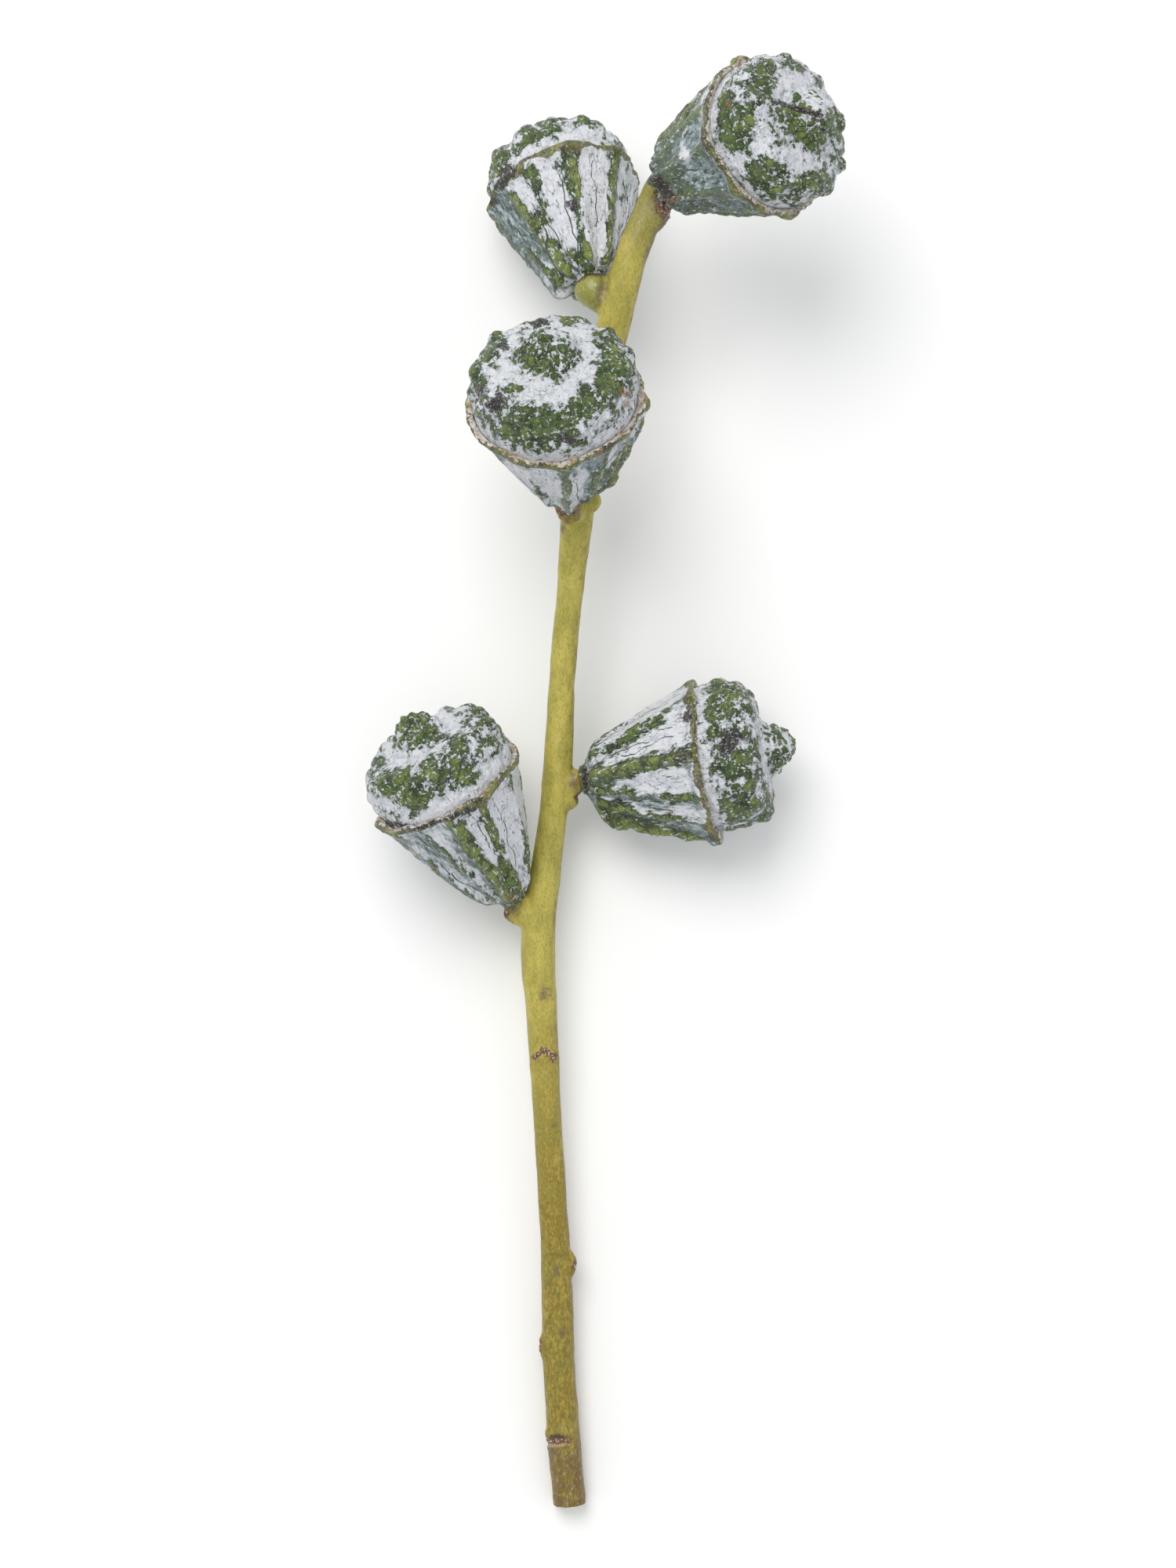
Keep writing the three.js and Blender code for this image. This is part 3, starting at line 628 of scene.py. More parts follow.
def cup_wall(nut):
    """Rings of the cup's ribbed wall: their turn, radius and height, and what its wax and rind read, each
    with the value that it has beyond the wall."""
    length, seed = nut["cup_length"], nut["seed"]
    turn, share = nut_grid(np.linspace(0, 1, CUP_ROWS) ** CUP_ROWS_CROWD)
    line = along(CUP_LINE, np.linspace(0, 1, 400))
    wall = np.interp(share, line[:, 0], line[:, 1]) * nut["rim"]
    flat = turned(wall, turn, share * length)

    def swells(points, size, number, octaves=3):
        return drifts(points, size, seed + number, octaves).reshape(turn.shape)

    wander = []
    for number in range(len(nut["ribs"])):
        lane = np.stack([flat[:, 1], np.full(len(flat), 11.3 * number), np.zeros(len(flat))], axis=-1)
        wander.append(0.05 * drift(lane, 4.0, seed).reshape(turn.shape))
    rib, crest = ribs_at(nut, turn, share, wall, wander)
    rib = rib * (1 + KNUCKLES * crest * swells(flat, 1.3, 3, 2))
    lumps = swells(flat, 2.4, 6)
    beads = pebbles(flat, 1.1, seed + 8).reshape(turn.shape)
    near_lip = smooth(1 - 1.5 / length, 1 - 0.6 / length, share)
    fine = WRINKLES * swells(flat * [1.0, 0.16, 1.0], 0.9, 5) * (1 - near_lip) + LUMPS * lumps
    fine = fine + BEADS * (beads - 0.5) * np.maximum(crest, 0.8 * near_lip)
    fine = fine * smooth(0, 0.05, share)
    sway = swells(turned(9, turn, 0.4 * share * length), 1.9, 15)
    fine = fine + LIP_SWAY * sway * smooth(0.88, 0.97, share)

    started = smooth(0.01 + nut["foot"], 0.13 + nut["foot"], share)
    grown = started * (1.45 - 0.85 * share) * (1 - 0.35 * smooth(0.92, 1, share) ** 2)
    hang = nut["hang"] * smooth(0.03, 0.1, share) * (1 - smooth(0.12, 0.32, share))
    rim_swell = RIM_SWELL * smooth(0.9, 0.97, share)
    radius = (wall + rim_swell) * roundness(nut, turn) + grown * rib + fine
    height = share * length + share**2 * rim_wave(nut, turn) - hang * rib

    bare = 0.22 + 0.5 * crest * smooth(0, 0.15, share) + 0.4 * (1 - smooth(0.03, 0.09, share)) - nut["waxy"]
    bare += 0.14 * swells(flat, 3.0, 9) + 0.2 * (beads - 0.5) * crest
    lip = smooth(1 - (1.0 + 0.7 * lumps) / length, 1 - (0.4 + 0.5 * lumps) / length, share)
    fields = {
        "bare": (bare, 0.8),
        "lip": (lip, 1.0),
        "crack": (crack_distance(nut, turn, share, wall), NO_CRACK),
        "film_and_shade": (0.2 * swells(flat, 4.0, 13), 0.3),
        "rust": (0.7 * smooth(0.6, 1.3, lumps) * lip, 0.0),
        "grainy": (smooth(0.5, 0.9, bare) * (1 - lip), 0.0),
        # Painted shade in the creases between the beads.
        "crease_shade": (1 - smooth(0.1, 0.6, beads), 0.0),
        "crest": (crest, 0.0),
    }
    return turn, radius, height, fields


def cup_lip(nut, turn, radius, height):
    """The rings that follow the wall's last one, over the rolled lip and down into the seat: their
    radius, their height and how near they are to the seam."""
    roll = LIP_ROLL * (1 + 0.5 * drifts(flat_ring(9, turn), 1.6, nut["seed"] + 14))
    rings = []
    for angle in (0.5, 1.0, 1.57, 2.2, 2.9):
        near_seam = 0.25 + 0.2 * angle + 0 * turn
        rings.append((radius - roll * (1 - math.cos(angle)), height + roll * math.sin(angle), near_seam))
    seat = (SEAT_RADIUS * nut["rim"] + SLIT) * roundness(nut, turn)
    inner = np.maximum(radius - 2 * LIP_ROLL, seat + 0.05)
    dip = drifts(flat_ring(seat, turn), 0.8, nut["seed"] + 12)
    for part in (0.35, 0.7, 1.0):
        near_seam = 0.8 + 0.2 * part + 0 * turn
        rings.append((inner + (seat - inner) * part, height + 0.05 + 0.05 * dip, near_seam))
    rings.append((seat, height - SEAT_DEPTH, 0 * turn))
    return [np.array(each) for each in zip(*rings)]


def cup(nut, material):
    """The ribbed cup: its wall, its rolled lip, and the seat that the cap stands in."""
    turn, radius, height, wall_fields = cup_wall(nut)
    lip_radius, lip_height, near_seam = cup_lip(nut, turn[-1], radius[-1], height[-1])
    wall = turned(radius, turn, height)
    lip = turned(lip_radius, turn[-1] + 0 * lip_radius, lip_height)
    local = np.vstack([wall, lip, [0, 0, 0], [0, nut["cup_length"] - SEAT_DEPTH, 0]])
    fields = {"edge": with_poles(np.vstack([0 * radius, near_seam]))}
    for field, (values, beyond) in wall_fields.items():
        fields[field] = with_poles(np.vstack([values, np.full_like(lip_radius, beyond)]))
    return nut_mesh(nut, nut["name"] + "_rind_cup", local, material, fields, 0.8)


def warts(nut):
    """Centre, radius and height of each wart of a cap, drawn as the CAD draws them."""
    found = []
    for row, (at, count, radius, height) in enumerate(WART_ROWS):
        for n in range(count):
            luck = [draw(nut["seed"] + row, 4 * n + k) for k in (10, 11, 12, 13)]
            turn = (n + 0.5 * (row % 2) + 0.7 * (luck[0] - 0.5)) / count * TURN
            reach, rise = along(CAP_LINE, at + 0.05 * (luck[1] - 0.5))
            reach = reach * nut["rim"]
            centre = np.array([reach * math.sin(turn), rise * nut["cap_height"], reach * math.cos(turn)])
            found.append((centre, radius * (0.8 + 0.4 * luck[2]), height * (0.55 + 0.9 * luck[3])))
    return found


def cap_rows(nut):
    """Shares of the cap's line that are evenly spaced along it, up to just short of the knob's tip."""
    dense = np.linspace(0, 1, 900)
    line = along(CAP_LINE, dense) * [nut["rim"], nut["cap_height"]]
    run = np.concatenate([[0], np.cumsum(np.hypot(*np.diff(line, axis=0).T))])
    return np.interp(np.linspace(0, run[-1] - 0.12, CAP_ROWS), run, dense)


def cap_relief(nut, flat, where):
    """How far warts and cobbles raise the cap at each point of its plain shape, and what its wax and rind
    read. `where` is each point's share of the cap's line."""
    seed = nut["seed"]
    bent = flat + 0.22 * np.stack([drifts(flat, 1.5, seed + 30 + k, 2) for k in range(3)], axis=-1)
    raised = np.zeros(len(flat))
    for centre, radius, high in warts(nut):
        far = np.linalg.norm(bent - centre, axis=1) / radius
        raised = np.maximum(raised, high * np.where(far < 1, (1 - far**2) ** 2, 0))
    raised = raised * smooth(0.5, 1.6, flat[:, 1])
    shoulder = smooth(0.05, 0.14, where) * (1 - smooth(0.42, 0.52, where))
    knob = smooth(0.58, 0.66, where)
    stones, small = pebbles(bent, 1.7, seed + 40), pebbles(bent, 1.15, seed + 44)
    cobbles = SHOULDER_COBBLES * (stones - 0.55) * shoulder + KNOB_COBBLES * (small - 0.6) * knob
    cobbles += 0.05 * drifts(flat, 0.7, seed + 46) + 0.09 * drifts(flat, 3.2, seed + 47)

    bare = 0.26 + 0.26 * shoulder + 0.42 * knob - nut["waxy"]
    bare += 0.14 * drifts(flat, 4.5, seed + 50) * (0.3 + 0.7 * shoulder)
    bare += 0.08 * drifts(flat, 1.6, seed + 52)
    bare += 0.16 * (stones - 0.5) * shoulder + 0.75 * (small - 0.62) * knob + 0.12 * raised
    # Painted shade in the creases between the stones and cobbles.
    shaded_creases = 1 - smooth(0.1, 0.5, np.where(knob > 0.5, small, stones))
    none = np.zeros(len(flat))
    fields = {
        "bare": bare,
        "lip": none,
        "edge": 0.55 * (1 - smooth(0.012, 0.03, where)),
        "crack": none + NO_CRACK,
        "film_and_shade": 0.15 * drifts(flat, 3.0, seed + 54),
        "rust": none,
        "grainy": smooth(0.55, 0.95, bare),
        "crease_shade": shaded_creases * (shoulder + knob),
        "crest": 0.5 * smooth(0.2, 0.8, raised) * (1 - knob),
    }
    fields = {name: with_poles(field) for name, field in fields.items()}
    return raised + cobbles * smooth(0.0, 0.05, where), fields


def cap(nut, material):
    """The warty cap: a drum with a round shoulder, a nearly flat top and a cobbled knob."""
    rim, tall = nut["rim"], nut["cap_height"]
    lift = nut["cup_length"] - SEAT_DEPTH + SEAM_GAP
    turn, share = nut_grid(cap_rows(nut))
    plain, ahead, behind = (
        along(CAP_LINE, np.clip(share + step, 0, 1)) * [rim, tall] for step in (0.0, 0.01, -0.01)
    )
    out = np.stack([(ahead - behind)[..., 1], (behind - ahead)[..., 0]], axis=-1)
    out /= np.linalg.norm(out, axis=-1, keepdims=True)
    flat = turned(plain[..., 0], turn, plain[..., 1])
    relief, fields = cap_relief(nut, flat, share.ravel())
    relief = relief.reshape(turn.shape)
    wave = rim_wave(nut, turn) * (1 - plain[..., 1] / tall) * smooth(0, 0.5 * rim, plain[..., 0])
    radius = np.maximum(plain[..., 0] * roundness(nut, turn) + relief * out[..., 0], 0.02)
    height = lift + plain[..., 1] + wave + relief * out[..., 1]
    local = turned(radius, turn, height)
    local = np.vstack([local, [0, lift, 0], [0, height[-1].mean() + 0.03, 0]])
    return nut_mesh(nut, nut["name"] + "_rind_cap", local, material, fields, 0.4)


def linear(hex_colour):
    """A colour written as sRGB hex, in the linear light that Blender works in."""
    parts = [int(hex_colour[n : n + 2], 16) / 255 for n in (1, 3, 5)]
    return tuple(c / 12.92 if c <= 0.04045 else ((c + 0.055) / 1.055) ** 2.4 for c in parts) + (1.0,)


def add(tree, kind, settings, inputs, out=0):
    """Adds a node with its settings and its inputs, each a value or a link, and gives one output."""
    node = tree.nodes.new(kind)
    for name, value in settings.items():
        setattr(node, name, value)
    for name, value in inputs.items():
        socket = next(s for s in node.inputs if s.identifier == name)
        if isinstance(value, bpy.types.NodeSocket):
            tree.links.new(value, socket)
        else:
            socket.default_value = value
    return node.outputs[out] if node.outputs else node


def new_material(name):
    """A material and its empty tree."""
    material = bpy.data.materials.new(name)
    material.use_nodes = True
    material.node_tree.nodes.clear()
    return material, material.node_tree


def layered(tree, under, layers):
    """Lays colours over one another. Each layer is its colour, its amount, the amounts at which it starts
    and is full, and how much of what lies under it it then hides."""
    for colour, amount, start, full, share in layers:
        mask = add(
            tree,
            "ShaderNodeMapRange",
            {"interpolation_type": "SMOOTHSTEP"},
            {"Value": amount, "From Min": start, "From Max": full, "To Max": share},
        )
        under = add(
            tree,
            "ShaderNodeMix",
            {"data_type": "RGBA"},
            {"Factor_Float": mask, "A_Color": under, "B_Color": colour},
            MIXED_COLOUR,
        )
    return under


def torn(tree, amount, place, size, by, detail=5.0, rough=0.7):
    """An amount made uneven by `by` times a random field, whose lobes are `size` mm across."""
    lobes = add(
        tree,
        "ShaderNodeTexNoise",
        {},
        {"Vector": place, "Scale": 1 / size, "Detail": detail, "Roughness": rough},
    )
    centred = add(tree, "ShaderNodeMath", {"operation": "SUBTRACT"}, {"Value": lobes, "Value_001": 0.5})
    return add(
        tree,
        "ShaderNodeMath",
        {"operation": "MULTIPLY_ADD"},
        {"Value": centred, "Value_001": by, "Value_002": amount},
    )


def waxed_rind(name, stretch, fleck_reach):
    """Living eucalyptus rind, grown with a bloom of wax that weather and handling have rubbed off its
    high places. The bare rind is green and shines a little, the wax is matt, bluish and nearly white.
    `stretch` draws the wax's pattern out along the nut's axis, and `fleck_reach` is how far the flecks of
    wax left on the rind spread from their middles."""
    material, tree = new_material(name)
    local = add(tree, "ShaderNodeAttribute", {"attribute_name": "local"}, {}, "Vector")
    bare, lip, edge, crack, film_and_shade, stain, rust, crease_shade, crest = (
        add(tree, "ShaderNodeAttribute", {"attribute_name": each}, {}, "Fac")
        for each in ("bare", "lip", "edge", "crack", "film_and_shade", "stain", "rust", "crease_shade", "crest")
    )
    drawn = add(tree, "ShaderNodeMapping", {}, {"Vector": local, "Scale": (1.0, stretch, 1.0)})
    streaked = add(tree, "ShaderNodeMapping", {}, {"Vector": local, "Scale": (1.0, stretch * 0.5, 1.0)})
    hue = torn(tree, 0.5, local, 2.0, 1.0)
    fine = torn(tree, 0.5, local, 0.35, 1.0, 3.0, 0.6)
    cells = add(
        tree,
        "ShaderNodeTexVoronoi",
        {"feature": "DISTANCE_TO_EDGE"},
        {"Vector": streaked, "Scale": 1 / 0.8, "Detail": 1.0, "Roughness": 0.6},
    )

    # Where the rind shows: rubbed patches with torn edges, less the crumbs and flecks of wax left on them,
    # and pinholes in the wax.
    worn = torn(tree, bare, drawn, 1.3, 2.2, 7.0)
    rubbed = add(tree, "ShaderNodeMapRange", {}, {"Value": worn, "From Min": 0.475, "From Max": 0.525})
    crumbs = torn(tree, 0.5, drawn, 0.5, 1.0, 3.0, 0.62)
    left = add(tree, "ShaderNodeMapRange", {}, {"Value": crumbs, "From Min": 0.59, "From Max": 0.62})
    spots = add(tree, "ShaderNodeTexVoronoi", {"feature": "F1"}, {"Vector": local, "Scale": 1 / 1.2})
    uneven_spots = torn(tree, torn(tree, spots, local, 0.35, 1.1, 3.0), local, 2.2, 0.6, 2.0)
    flecks = add(
        tree,
        "ShaderNodeMapRange",
        {},
        {"Value": uneven_spots, "From Min": fleck_reach, "From Max": fleck_reach - 0.07},
    )
    kept = add(tree, "ShaderNodeMath", {"operation": "MAXIMUM"}, {"Value": left, "Value_001": flecks})
    cleared = add(tree, "ShaderNodeMath", {"operation": "SUBTRACT"}, {"Value": rubbed, "Value_001": kept})
    pits = torn(tree, 0.5, streaked, 0.3, 1.0, 3.0, 0.6)
    holes = add(tree, "ShaderNodeMapRange", {}, {"Value": pits, "From Min": 0.64, "From Max": 0.7})
    shown = {"Value": cleared, "Value_001": holes}
    green_share = add(tree, "ShaderNodeMath", {"operation": "MAXIMUM"}, shown)

    # Painted shade darkens the rind in the creases and along the rim of each patch, and a film of wax, with
    # painted shade in it, greys it in places.
    painted_crease_shade = torn(tree, crease_shade, local, 0.5, 1.4, 3.0)
    green = layered(
        tree,
        linear("#4d6330"),
        [
            (linear("#7b8b43"), hue, 0.46, 0.66, 0.85),
            (linear("#86914a"), torn(tree, crest, local, 0.8, 1.0), 0.35, 0.9, 0.65),
            (linear("#2d3c22"), hue, 0.5, 0.34, 0.85),
            # Painted shade: a dark rim on the rind where the edge of the wax stands over it.
            (linear("#20291a"), worn, 0.72, 0.5, 0.75),
            # Painted shade in the creases.
            (linear("#222b1b"), painted_crease_shade, 0.6, 1.0, 0.75),
            (linear("#a0a86c"), fine, 0.59, 0.7, 0.7),
            # A film of wax greys the rind; its field also holds painted shade, so the sides turned from the
            # light grey most.
            (linear("#74867d"), torn(tree, film_and_shade, drawn, 2.4, 1.5), 0.45, 1.1, 0.5),
        ],
    )

    # The wax is thick and white, or a thin streaky film that lets the dark rind through. The film's field
    # also holds painted shade, so this dark film lies on the sides turned from the light too.
    cloud = torn(tree, 0.5, drawn, 0.9, 1.0)
    streaks = torn(tree, 0.5, streaked, 0.6, 1.0)
    thin_and_shaded_wax = layered(
        tree,
        linear("#3f5148"),
        [
            (linear("#8b9b9f"), streaks, 0.4, 0.54, 1.0),
            (linear("#d2d9dd"), streaks, 0.55, 0.66, 1.0),
        ],
    )
    wax = layered(
        tree,
        linear("#e2e3e9"),
        [
            (linear("#b4bec8"), cloud, 0.5, 0.68, 0.9),
            (linear("#cbccd0"), fine, 0.5, 0.65, 0.7),
            (thin_and_shaded_wax, torn(tree, film_and_shade, drawn, 1.8, 1.5), 0.4, 0.8, 1.0),
            (linear("#8d9b95"), worn, 0.3, 0.5, 0.75),
            (linear("#d5dadf"), kept, 0.0, 1.0, 0.8),
        ],
    )

    # Marks on both: hairline wrinkles in patches, long cracks, flecks, lip, rust, sooty stains and seam.
    patches = torn(tree, 0.5, local, 1.7, 1.0)
    spared = add(
        tree,
        "ShaderNodeMapRange",
        {},
        {"Value": patches, "From Min": 0.48, "From Max": 0.6, "To Min": 0.08, "To Max": 0.0},
    )
    wrinkled = add(tree, "ShaderNodeMath", {"operation": "ADD"}, {"Value": cells, "Value_001": spared})
    dark_flecks = torn(tree, torn(tree, 0.5, drawn, 3.2, 1.0), local, 0.5, 0.8)
    lip_colour = layered(
        tree,
        linear("#666a33"),
        [
            (linear("#88913f"), hue, 0.52, 0.64, 0.8),
            (linear("#46382c"), hue, 0.5, 0.4, 0.9),
            (linear("#b5a98f"), fine, 0.56, 0.64, 0.8),
            (linear("#3a3026"), fine, 0.44, 0.36, 0.8),
        ],
    )
    edge_colour = layered(
        tree,
        linear("#e6dfd6"),
        [(linear("#bd9069"), hue, 0.5, 0.62, 0.95), (linear("#7a5f4c"), fine, 0.57, 0.65, 0.9)],
    )
    stain_colour = layered(
        tree,
        linear("#30282b"),
        [(linear("#5a5d50"), fine, 0.5, 0.6, 0.9), (linear("#c3c3c8"), pits, 0.58, 0.64, 0.8)],
    )
    colour = layered(
        tree,
        wax,
        [
            (green, green_share, 0.0, 1.0, 1.0),
            (linear("#69736c"), wrinkled, 0.06, 0.02, 0.6),
            (linear("#474a44"), crack, 0.11, 0.05, 1.0),
            (linear("#3b3a30"), dark_flecks, 0.66, 0.74, 0.85),
            (lip_colour, torn(tree, lip, local, 0.9, 2.4), 0.5, 0.75, 0.92),
            (linear("#8d6446"), torn(tree, rust, local, 0.5, 3.0), 0.5, 1.1, 0.75),
            (stain_colour, torn(tree, stain, local, 0.8, 2.4), 0.47, 0.67, 0.95),
            (edge_colour, torn(tree, edge, local, 0.6, 1.6), 0.45, 0.6, 1.0),
        ],
    )
    rough = add(tree, "ShaderNodeMapRange", {}, {"Value": green_share, "To Min": 0.55, "To Max": 0.2})

    # The rind has domes three quarters of a millimetre across, and the wax lies in wrinkles over them.
    domes = add(
        tree,
        "ShaderNodeTexVoronoi",
        {"feature": "SMOOTH_F1"},
        {"Vector": local, "Scale": 1 / 0.75, "Smoothness": 0.4},
    )
    sunk = add(tree, "ShaderNodeMath", {"operation": "MULTIPLY"}, {"Value": domes, "Value_001": -1.1})
    pitted = torn(tree, sunk, streaked, 0.3, 1.4)
    waxed = add(
        tree,
        "ShaderNodeMath",
        {"operation": "MULTIPLY_ADD"},
        {"Value": green_share, "Value_001": -0.35, "Value_002": pitted},
    )
    sinks = {"Value": wrinkled, "From Min": 0.1, "From Max": 0.0, "To Max": -0.5}
    furrow = add(tree, "ShaderNodeMapRange", {}, sinks)
    height = add(tree, "ShaderNodeMath", {"operation": "ADD"}, {"Value": waxed, "Value_001": furrow})
    relief = add(tree, "ShaderNodeBump", {}, {"Strength": 1.0, "Distance": 0.17 * MM, "Height": height})
    shader = add(
        tree,
        "ShaderNodeBsdfPrincipled",
        {},
        {"Base Color": colour, "Roughness": rough, "Normal": relief, "IOR": WAXY_IOR},
    )
    add(tree, "ShaderNodeOutputMaterial", {}, {"Surface": shader})
    return material


def young_bark():
    """Young green eucalyptus bark, grown smooth. It is yellow-green with a soft satin shine and fine
    mottling, brown where it is old or hurt, with rust-brown corky scars. Painted shade darkens its top end,
    and painted highlight specks lie on the glassy stalks."""
    material, tree = new_material("young_green_bark_satin")
    place = add(tree, "ShaderNodeTexCoord", {}, {}, "Object")
    local = add(tree, "ShaderNodeVectorMath", {"operation": "SCALE"}, {"Vector": place, "Scale": 1 / MM})
    drawn = add(tree, "ShaderNodeMapping", {}, {"Vector": local, "Scale": (1.0, 0.45, 1.0)})
    field = {
        each: add(tree, "ShaderNodeAttribute", {"attribute_name": each}, {}, "Fac")
        for each in ("old", "painted_top_shade", "brown", "rust", "stain", "pale", "smudge", "fresh_and_glints", "cut")
    }
    cloud = torn(tree, 0.5, drawn, 2.2, 1.0)
    flecks = torn(tree, 0.5, drawn, 0.2, 1.0, 3.0)
    dark_streaks = torn(tree, field["old"], drawn, 0.45, 2.4, 3.0)
    light_streaks = torn(tree, field["old"], drawn, 0.45, -2.4, 3.0)
    colour = layered(
        tree,
        linear("#b8ab4f"),
        [
            (linear("#866f1c"), field["old"], 0.0, 1.0, 0.95),
            # Painted shade towards the top of the stem.
            (linear("#868045"), field["painted_top_shade"], 0.0, 1.0, 0.85),
            (linear("#8c8636"), cloud, 0.42, 0.62, 0.55),
            (linear("#c6b85c"), cloud, 0.46, 0.34, 0.4),
            (linear("#6b6128"), flecks, 0.5, 0.66, 0.4),
            (linear("#cdc071"), flecks, 0.46, 0.34, 0.35),
            (linear("#5f571f"), dark_streaks, 0.95, 1.35, 0.5),
            (linear("#b5a04a"), light_streaks, 1.0, 1.4, 0.45),
            (linear("#8b8c42"), field["fresh_and_glints"], 0.0, 1.0, 0.9),
            # Painted highlight: pale specks on the glassy stalks.
            (linear("#d9dcc4"), torn(tree, field["fresh_and_glints"], local, 0.35, 2.4), 1.22, 1.32, 0.6),
            (linear("#6a5430"), torn(tree, field["brown"], drawn, 1.0, 1.7), 0.25, 0.9, 0.8),
            (linear("#665749"), torn(tree, field["smudge"], local, 0.6, 2.0), 0.3, 1.2, 0.8),
            (linear("#b59c80"), torn(tree, field["pale"], drawn, 0.3, 2.6), 0.6, 0.9, 0.85),
            (linear("#6b4232"), torn(tree, field["rust"], local, 0.4, 2.4), 0.45, 0.85, 0.95),
            (linear("#3c2b2c"), torn(tree, field["stain"], local, 0.35, 3.0), 0.5, 0.9, 0.85),
            (linear("#d3bfae"), torn(tree, field["rust"], local, 0.3, 2.4), 1.02, 1.15, 0.9),
            (linear("#c9bd86"), field["cut"], 0.0, 1.0, 1.0),
        ],
    )
    height = add(
        tree,
        "ShaderNodeMath",
        {"operation": "MULTIPLY_ADD"},
        {"Value": flecks, "Value_001": 0.6, "Value_002": cloud},
    )
    relief = add(tree, "ShaderNodeBump", {}, {"Strength": 0.5, "Distance": 0.08 * MM, "Height": height})
    shine = add(tree, "ShaderNodeMapRange", {}, {"Value": field["fresh_and_glints"], "To Min": 0.46, "To Max": 0.22})
    shader = add(
        tree,
        "ShaderNodeBsdfPrincipled",
        {},
        {"Base Color": colour, "Roughness": shine, "Normal": relief, "IOR": WAXY_IOR},
    )
    add(tree, "ShaderNodeOutputMaterial", {}, {"Surface": shader})
    return material


def oil_glands():
    """Oil glands, grown as tiny domes in the rind. Each one catches a glint."""
    material, tree = new_material("oil_glands_glossy")
    place = add(tree, "ShaderNodeTexCoord", {}, {}, "Object")
    mottle = torn(tree, 0.5, place, 0.9 * MM, 1.0, 2.0)
    colour = layered(tree, linear("#44572a"), [(linear("#6f7f40"), mottle, 0.35, 0.65, 1.0)])
    gloss = {"Base Color": colour, "Roughness": 0.28, "IOR": WAXY_IOR}
    shader = add(tree, "ShaderNodeBsdfPrincipled", {}, gloss)
    add(tree, "ShaderNodeOutputMaterial", {}, {"Surface": shader})
    return material


def node_tree(name, sizes):
    """An empty Geometry Nodes tree with a geometry in and out and named inputs for its sizes."""
    tree = bpy.data.node_groups.new(name, "GeometryNodeTree")
    tree.interface.new_socket(name="Geometry", in_out="INPUT", socket_type="NodeSocketGeometry")
    tree.interface.new_socket(name="Geometry", in_out="OUTPUT", socket_type="NodeSocketGeometry")
    for size, kind in sizes.items():
        tree.interface.new_socket(name=size, in_out="INPUT", socket_type=kind)
    given = tree.nodes.new("NodeGroupInput")
    return tree, {socket.name: socket for socket in given.outputs if socket.name}


def finished(tree, shape, material):
    """Ends a tree: its instances made real, its material set, and the way out."""
    real = add(tree, "GeometryNodeRealizeInstances", {}, {"Geometry": shape})
    skinned = add(tree, "GeometryNodeSetMaterial", {}, {"Geometry": real, "Material": material})
    way_out = tree.nodes.new("NodeGroupOutput")
    tree.links.new(skinned, way_out.inputs[0])


def made_by(tree, name, source, sizes, material):
    """Runs a tree on a mesh and keeps what it makes as a plain mesh with one material."""
    worker = bpy.data.objects.new(name + "_worker", source)
    bpy.context.scene.collection.objects.link(worker)
    modifier = worker.modifiers.new("Grow", "NODES")
    modifier.node_group = tree
    for socket in tree.interface.items_tree:
        if socket.in_out == "INPUT" and socket.name in sizes:
            modifier[socket.identifier] = sizes[socket.name]
        if socket.in_out == "INPUT" and socket.name == "Material":
            modifier[socket.identifier] = material
    bpy.context.view_layer.update()
    shown = worker.evaluated_get(bpy.context.evaluated_depsgraph_get())
    mesh = bpy.data.meshes.new_from_object(shown)
    mesh.name = name
    worker.modifiers.remove(modifier)
    bpy.data.objects.remove(worker)
    return grown_piece(name, mesh, material)


def path_tube_tree():
    """Wraps a round tube of changing girth round each path, swells it unevenly and closes its ends."""
    tree, given = node_tree(
        "Tube along each path",
        {
            "Step": "NodeSocketFloat",
            "Sides": "NodeSocketInt",
            "Unevenness": "NodeSocketFloat",
            "Swell Spacing": "NodeSocketFloat",
            "Material": "NodeSocketMaterial",
        },
    )
    path = add(tree, "GeometryNodeMeshToCurve", {}, {"Mesh": given["Geometry"]})
    stepped = {"Curve": path, "Length": given["Step"]}
    even = add(tree, "GeometryNodeResampleCurve", {"mode": "LENGTH"}, stepped)
    round_one = {"Resolution": given["Sides"], "Radius": 1.0}
    section = add(tree, "GeometryNodeCurvePrimitiveCircle", {}, round_one)
    girth = add(tree, "GeometryNodeInputNamedAttribute", {"data_type": "FLOAT"}, {"Name": "girth"})
    wrapped = {"Curve": even, "Profile Curve": section, "Scale": girth, "Fill Caps": True}
    tube = add(tree, "GeometryNodeCurveToMesh", {}, wrapped)
    spacing = {"Value": 1.0, "Value_001": given["Swell Spacing"]}
    spread = add(tree, "ShaderNodeMath", {"operation": "DIVIDE"}, spacing)
    swells = add(tree, "ShaderNodeTexNoise", {}, {"Scale": spread, "Detail": 2.0})
    centred = add(tree, "ShaderNodeMath", {"operation": "SUBTRACT"}, {"Value": swells, "Value_001": 0.5})
    swollen = {"Value": centred, "Value_001": given["Unevenness"]}
    high = add(tree, "ShaderNodeMath", {"operation": "MULTIPLY"}, swollen)
    facing = add(tree, "GeometryNodeInputNormal", {}, {})
    push = add(tree, "ShaderNodeVectorMath", {"operation": "SCALE"}, {"Vector": facing, "Scale": high})
    uneven = add(tree, "GeometryNodeSetPosition", {}, {"Geometry": tube, "Offset": push})
    finished(tree, uneven, given["Material"])
    return tree


